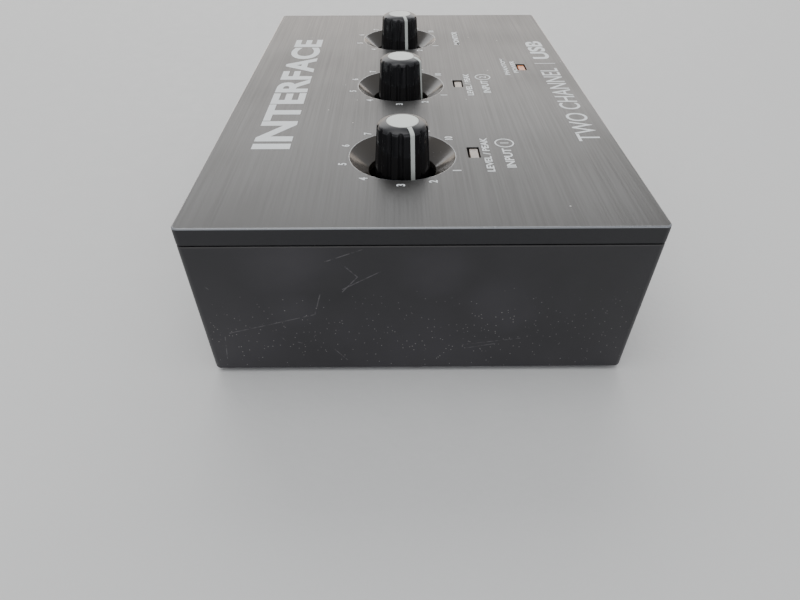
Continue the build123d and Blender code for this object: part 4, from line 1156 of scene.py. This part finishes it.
# the matrix that stands words on a leaning wall
def onWall(side, place):
    z = place[1] * mm
    facing = -1 if side == "front" else 1
    lean = caseShape["draft"]
    up = Vector((0, facing * math.sin(lean), math.cos(lean)))
    right = Vector((-facing, 0, 0))
    out = right.cross(up)
    spot = Vector((boxMid.x + right.x * place[0] * mm, wallY(side, z), z))
    return Matrix.Translation(spot) @ Matrix((right, up, out)).transposed().to_4x4()


def inked(name, items, rings=()):
    bm = bmesh.new()
    for mesh, matrix in items:
        mesh.transform(matrix)
        bm.from_mesh(mesh)
        bpy.data.meshes.remove(mesh)
    for place in rings:
        ringInk(bm, place)
    for face in bm.faces:
        face.smooth = False
    fitted(finished(name, bm, [inkWhite]))


def buildPrint():
    items = []
    for words, (x, y), height, width, heavy in labels:
        items.append((printed(words, height, width, heavy), onCover(boxMid.x + x * mm, boxMid.y + y * mm)))
    reach = digitShape["radius"] * mm
    for mid in dialMids:
        for number, degrees in enumerate(digitShape["angles"], 1):
            a = math.radians(degrees)
            mesh = printed(str(number), digitShape["height"], heavy=digitShape["heavy"])
            items.append((mesh, onCover(mid.x + math.sin(a) * reach, mid.y + math.cos(a) * reach)))
    inked("coverPrint", items, ringedDigits)
    for side, words in wallLabels.items():
        heavy = inkShape["wallHeavy"]
        inked(side + "Print", [(printed(text, height, heavy=heavy), onWall(side, place))
                               for text, place, height in words])


buildPrint()
print("print built")

# these pieces keep the shape they came with and only take a finish
nodesOf = [
    (solderMask, "main_board control_board"), (blackZinc, "main_board_screws control_board_screws"),
    (chipEpoxy, "circuit_chips"), (canAluminium, "capacitors"), (creamNylon, "board_link_plugs"),
    (ribbonVinyl, "board_link_ribbon"), (nickelPlate, "led_leads instrument_jack_ferrule"),
    (goldContact, "xlr_contacts"), (paleNylon, "usb_socket_insert"),
    (stampedSteel, "usb_socket_shell line_switch_frame monitor_switch_frame"),
    (socketPlastic, "combo_socket_housing instrument_jack_housing headphone_jack phantom_switch_body "
                    "output_socket_housing"),
]
finishOf = {name: material for material, names in nodesOf for name in names.split()}
for name in dialNames:
    finishOf[name + "_pot_shaft"] = canAluminium
    finishOf[name + "_pot_housing"] = darkSteel
for name, material in finishOf.items():
    mesh = cadNodes[name].data
    mesh.materials.clear()
    mesh.materials.append(material)
print("finishes set")


def buildFloor():
    bm = bmesh.new()
    size = 3.0
    bm.faces.new([bm.verts.new((x * size, y * size, 0.0)) for x, y in ((-1, -1), (1, -1), (1, 1), (-1, 1))])
    mesh = bpy.data.meshes.new("floor")
    bm.to_mesh(mesh)
    bm.free()
    paper = {"grainScale": 400.0, "grainDepth": 0.0001, "shift": 0.02}
    mesh.materials.append(plainDetailed("floorPaper", (0.68, 0.68, 0.67), 0.8, **paper))
    floor = bpy.data.objects.new("floor", mesh)
    bpy.context.scene.collection.objects.link(floor)


def areaLight(name, place, target, size, power, colour=(1, 1, 1)):
    light = bpy.data.lights.new(name, "AREA")
    light.shape = "RECTANGLE"
    light.size, light.size_y = size
    light.energy = power
    light.color = colour
    made = bpy.data.objects.new(name, light)
    made.location = place
    made.rotation_euler = (Vector(target) - Vector(place)).to_track_quat("-Z", "Y").to_euler()
    bpy.context.scene.collection.objects.link(made)


# a wide window beyond the object, a low warm strip under it, a lamp overhead and a fill from the near side
def buildLights():
    world = bpy.data.worlds.new("studio")
    world.use_nodes = True
    world.node_tree.nodes["Background"].inputs[0].default_value = (0.93, 0.96, 1.0, 1)
    world.node_tree.nodes["Background"].inputs[1].default_value = 0.55
    bpy.context.scene.world = world
    areaLight("window", (1.5, 0.1, 1.05), (0, 0, 0), (2.2, 1.2), 21)
    areaLight("warmWall", (2.6, 0.0, 0.35), (0, 0, 0.05), (7.0, 0.9), 32, (1.0, 0.84, 0.68))
    areaLight("overhead", (-0.3, 0.3, 1.8), (0, 0, 0), (1.6, 1.6), 16)
    areaLight("fill", (-1.7, -0.2, 0.55), (0, 0, 0.03), (2.4, 0.9), 7, (0.94, 0.93, 1.0))


cameraShape = {
    "lens": 584.2 / 800 * 36, "offset": Vector((-193.2 * mm, 5.5 * mm, 69.5 * mm)),
    "down": math.radians(39.98), "yaw": math.radians(-0.36), "roll": math.radians(-0.1),
}


def buildCamera():
    camera = bpy.data.cameras.new("camera")
    camera.lens = cameraShape["lens"]
    camera.sensor_width = 36
    camera.clip_start = 0.01
    made = bpy.data.objects.new("camera", camera)
    down, yaw, roll = cameraShape["down"], cameraShape["yaw"], cameraShape["roll"]
    ahead = Vector((math.cos(down) * math.cos(yaw), math.cos(down) * math.sin(yaw), -math.sin(down)))
    right = Vector((math.sin(yaw), -math.cos(yaw), 0)).normalized()
    up = right.cross(ahead)
    right, up = math.cos(roll) * right + math.sin(roll) * up, math.cos(roll) * up - math.sin(roll) * right
    turn = Matrix((right, up, -ahead)).transposed().to_4x4()
    made.matrix_world = Matrix.Translation(boxMid + cameraShape["offset"]) @ turn
    bpy.context.scene.collection.objects.link(made)
    bpy.context.scene.camera = made


buildFloor()
buildLights()
buildCamera()
bpy.context.scene.view_settings.view_transform = "AgX"
print("floor, lights and camera set")
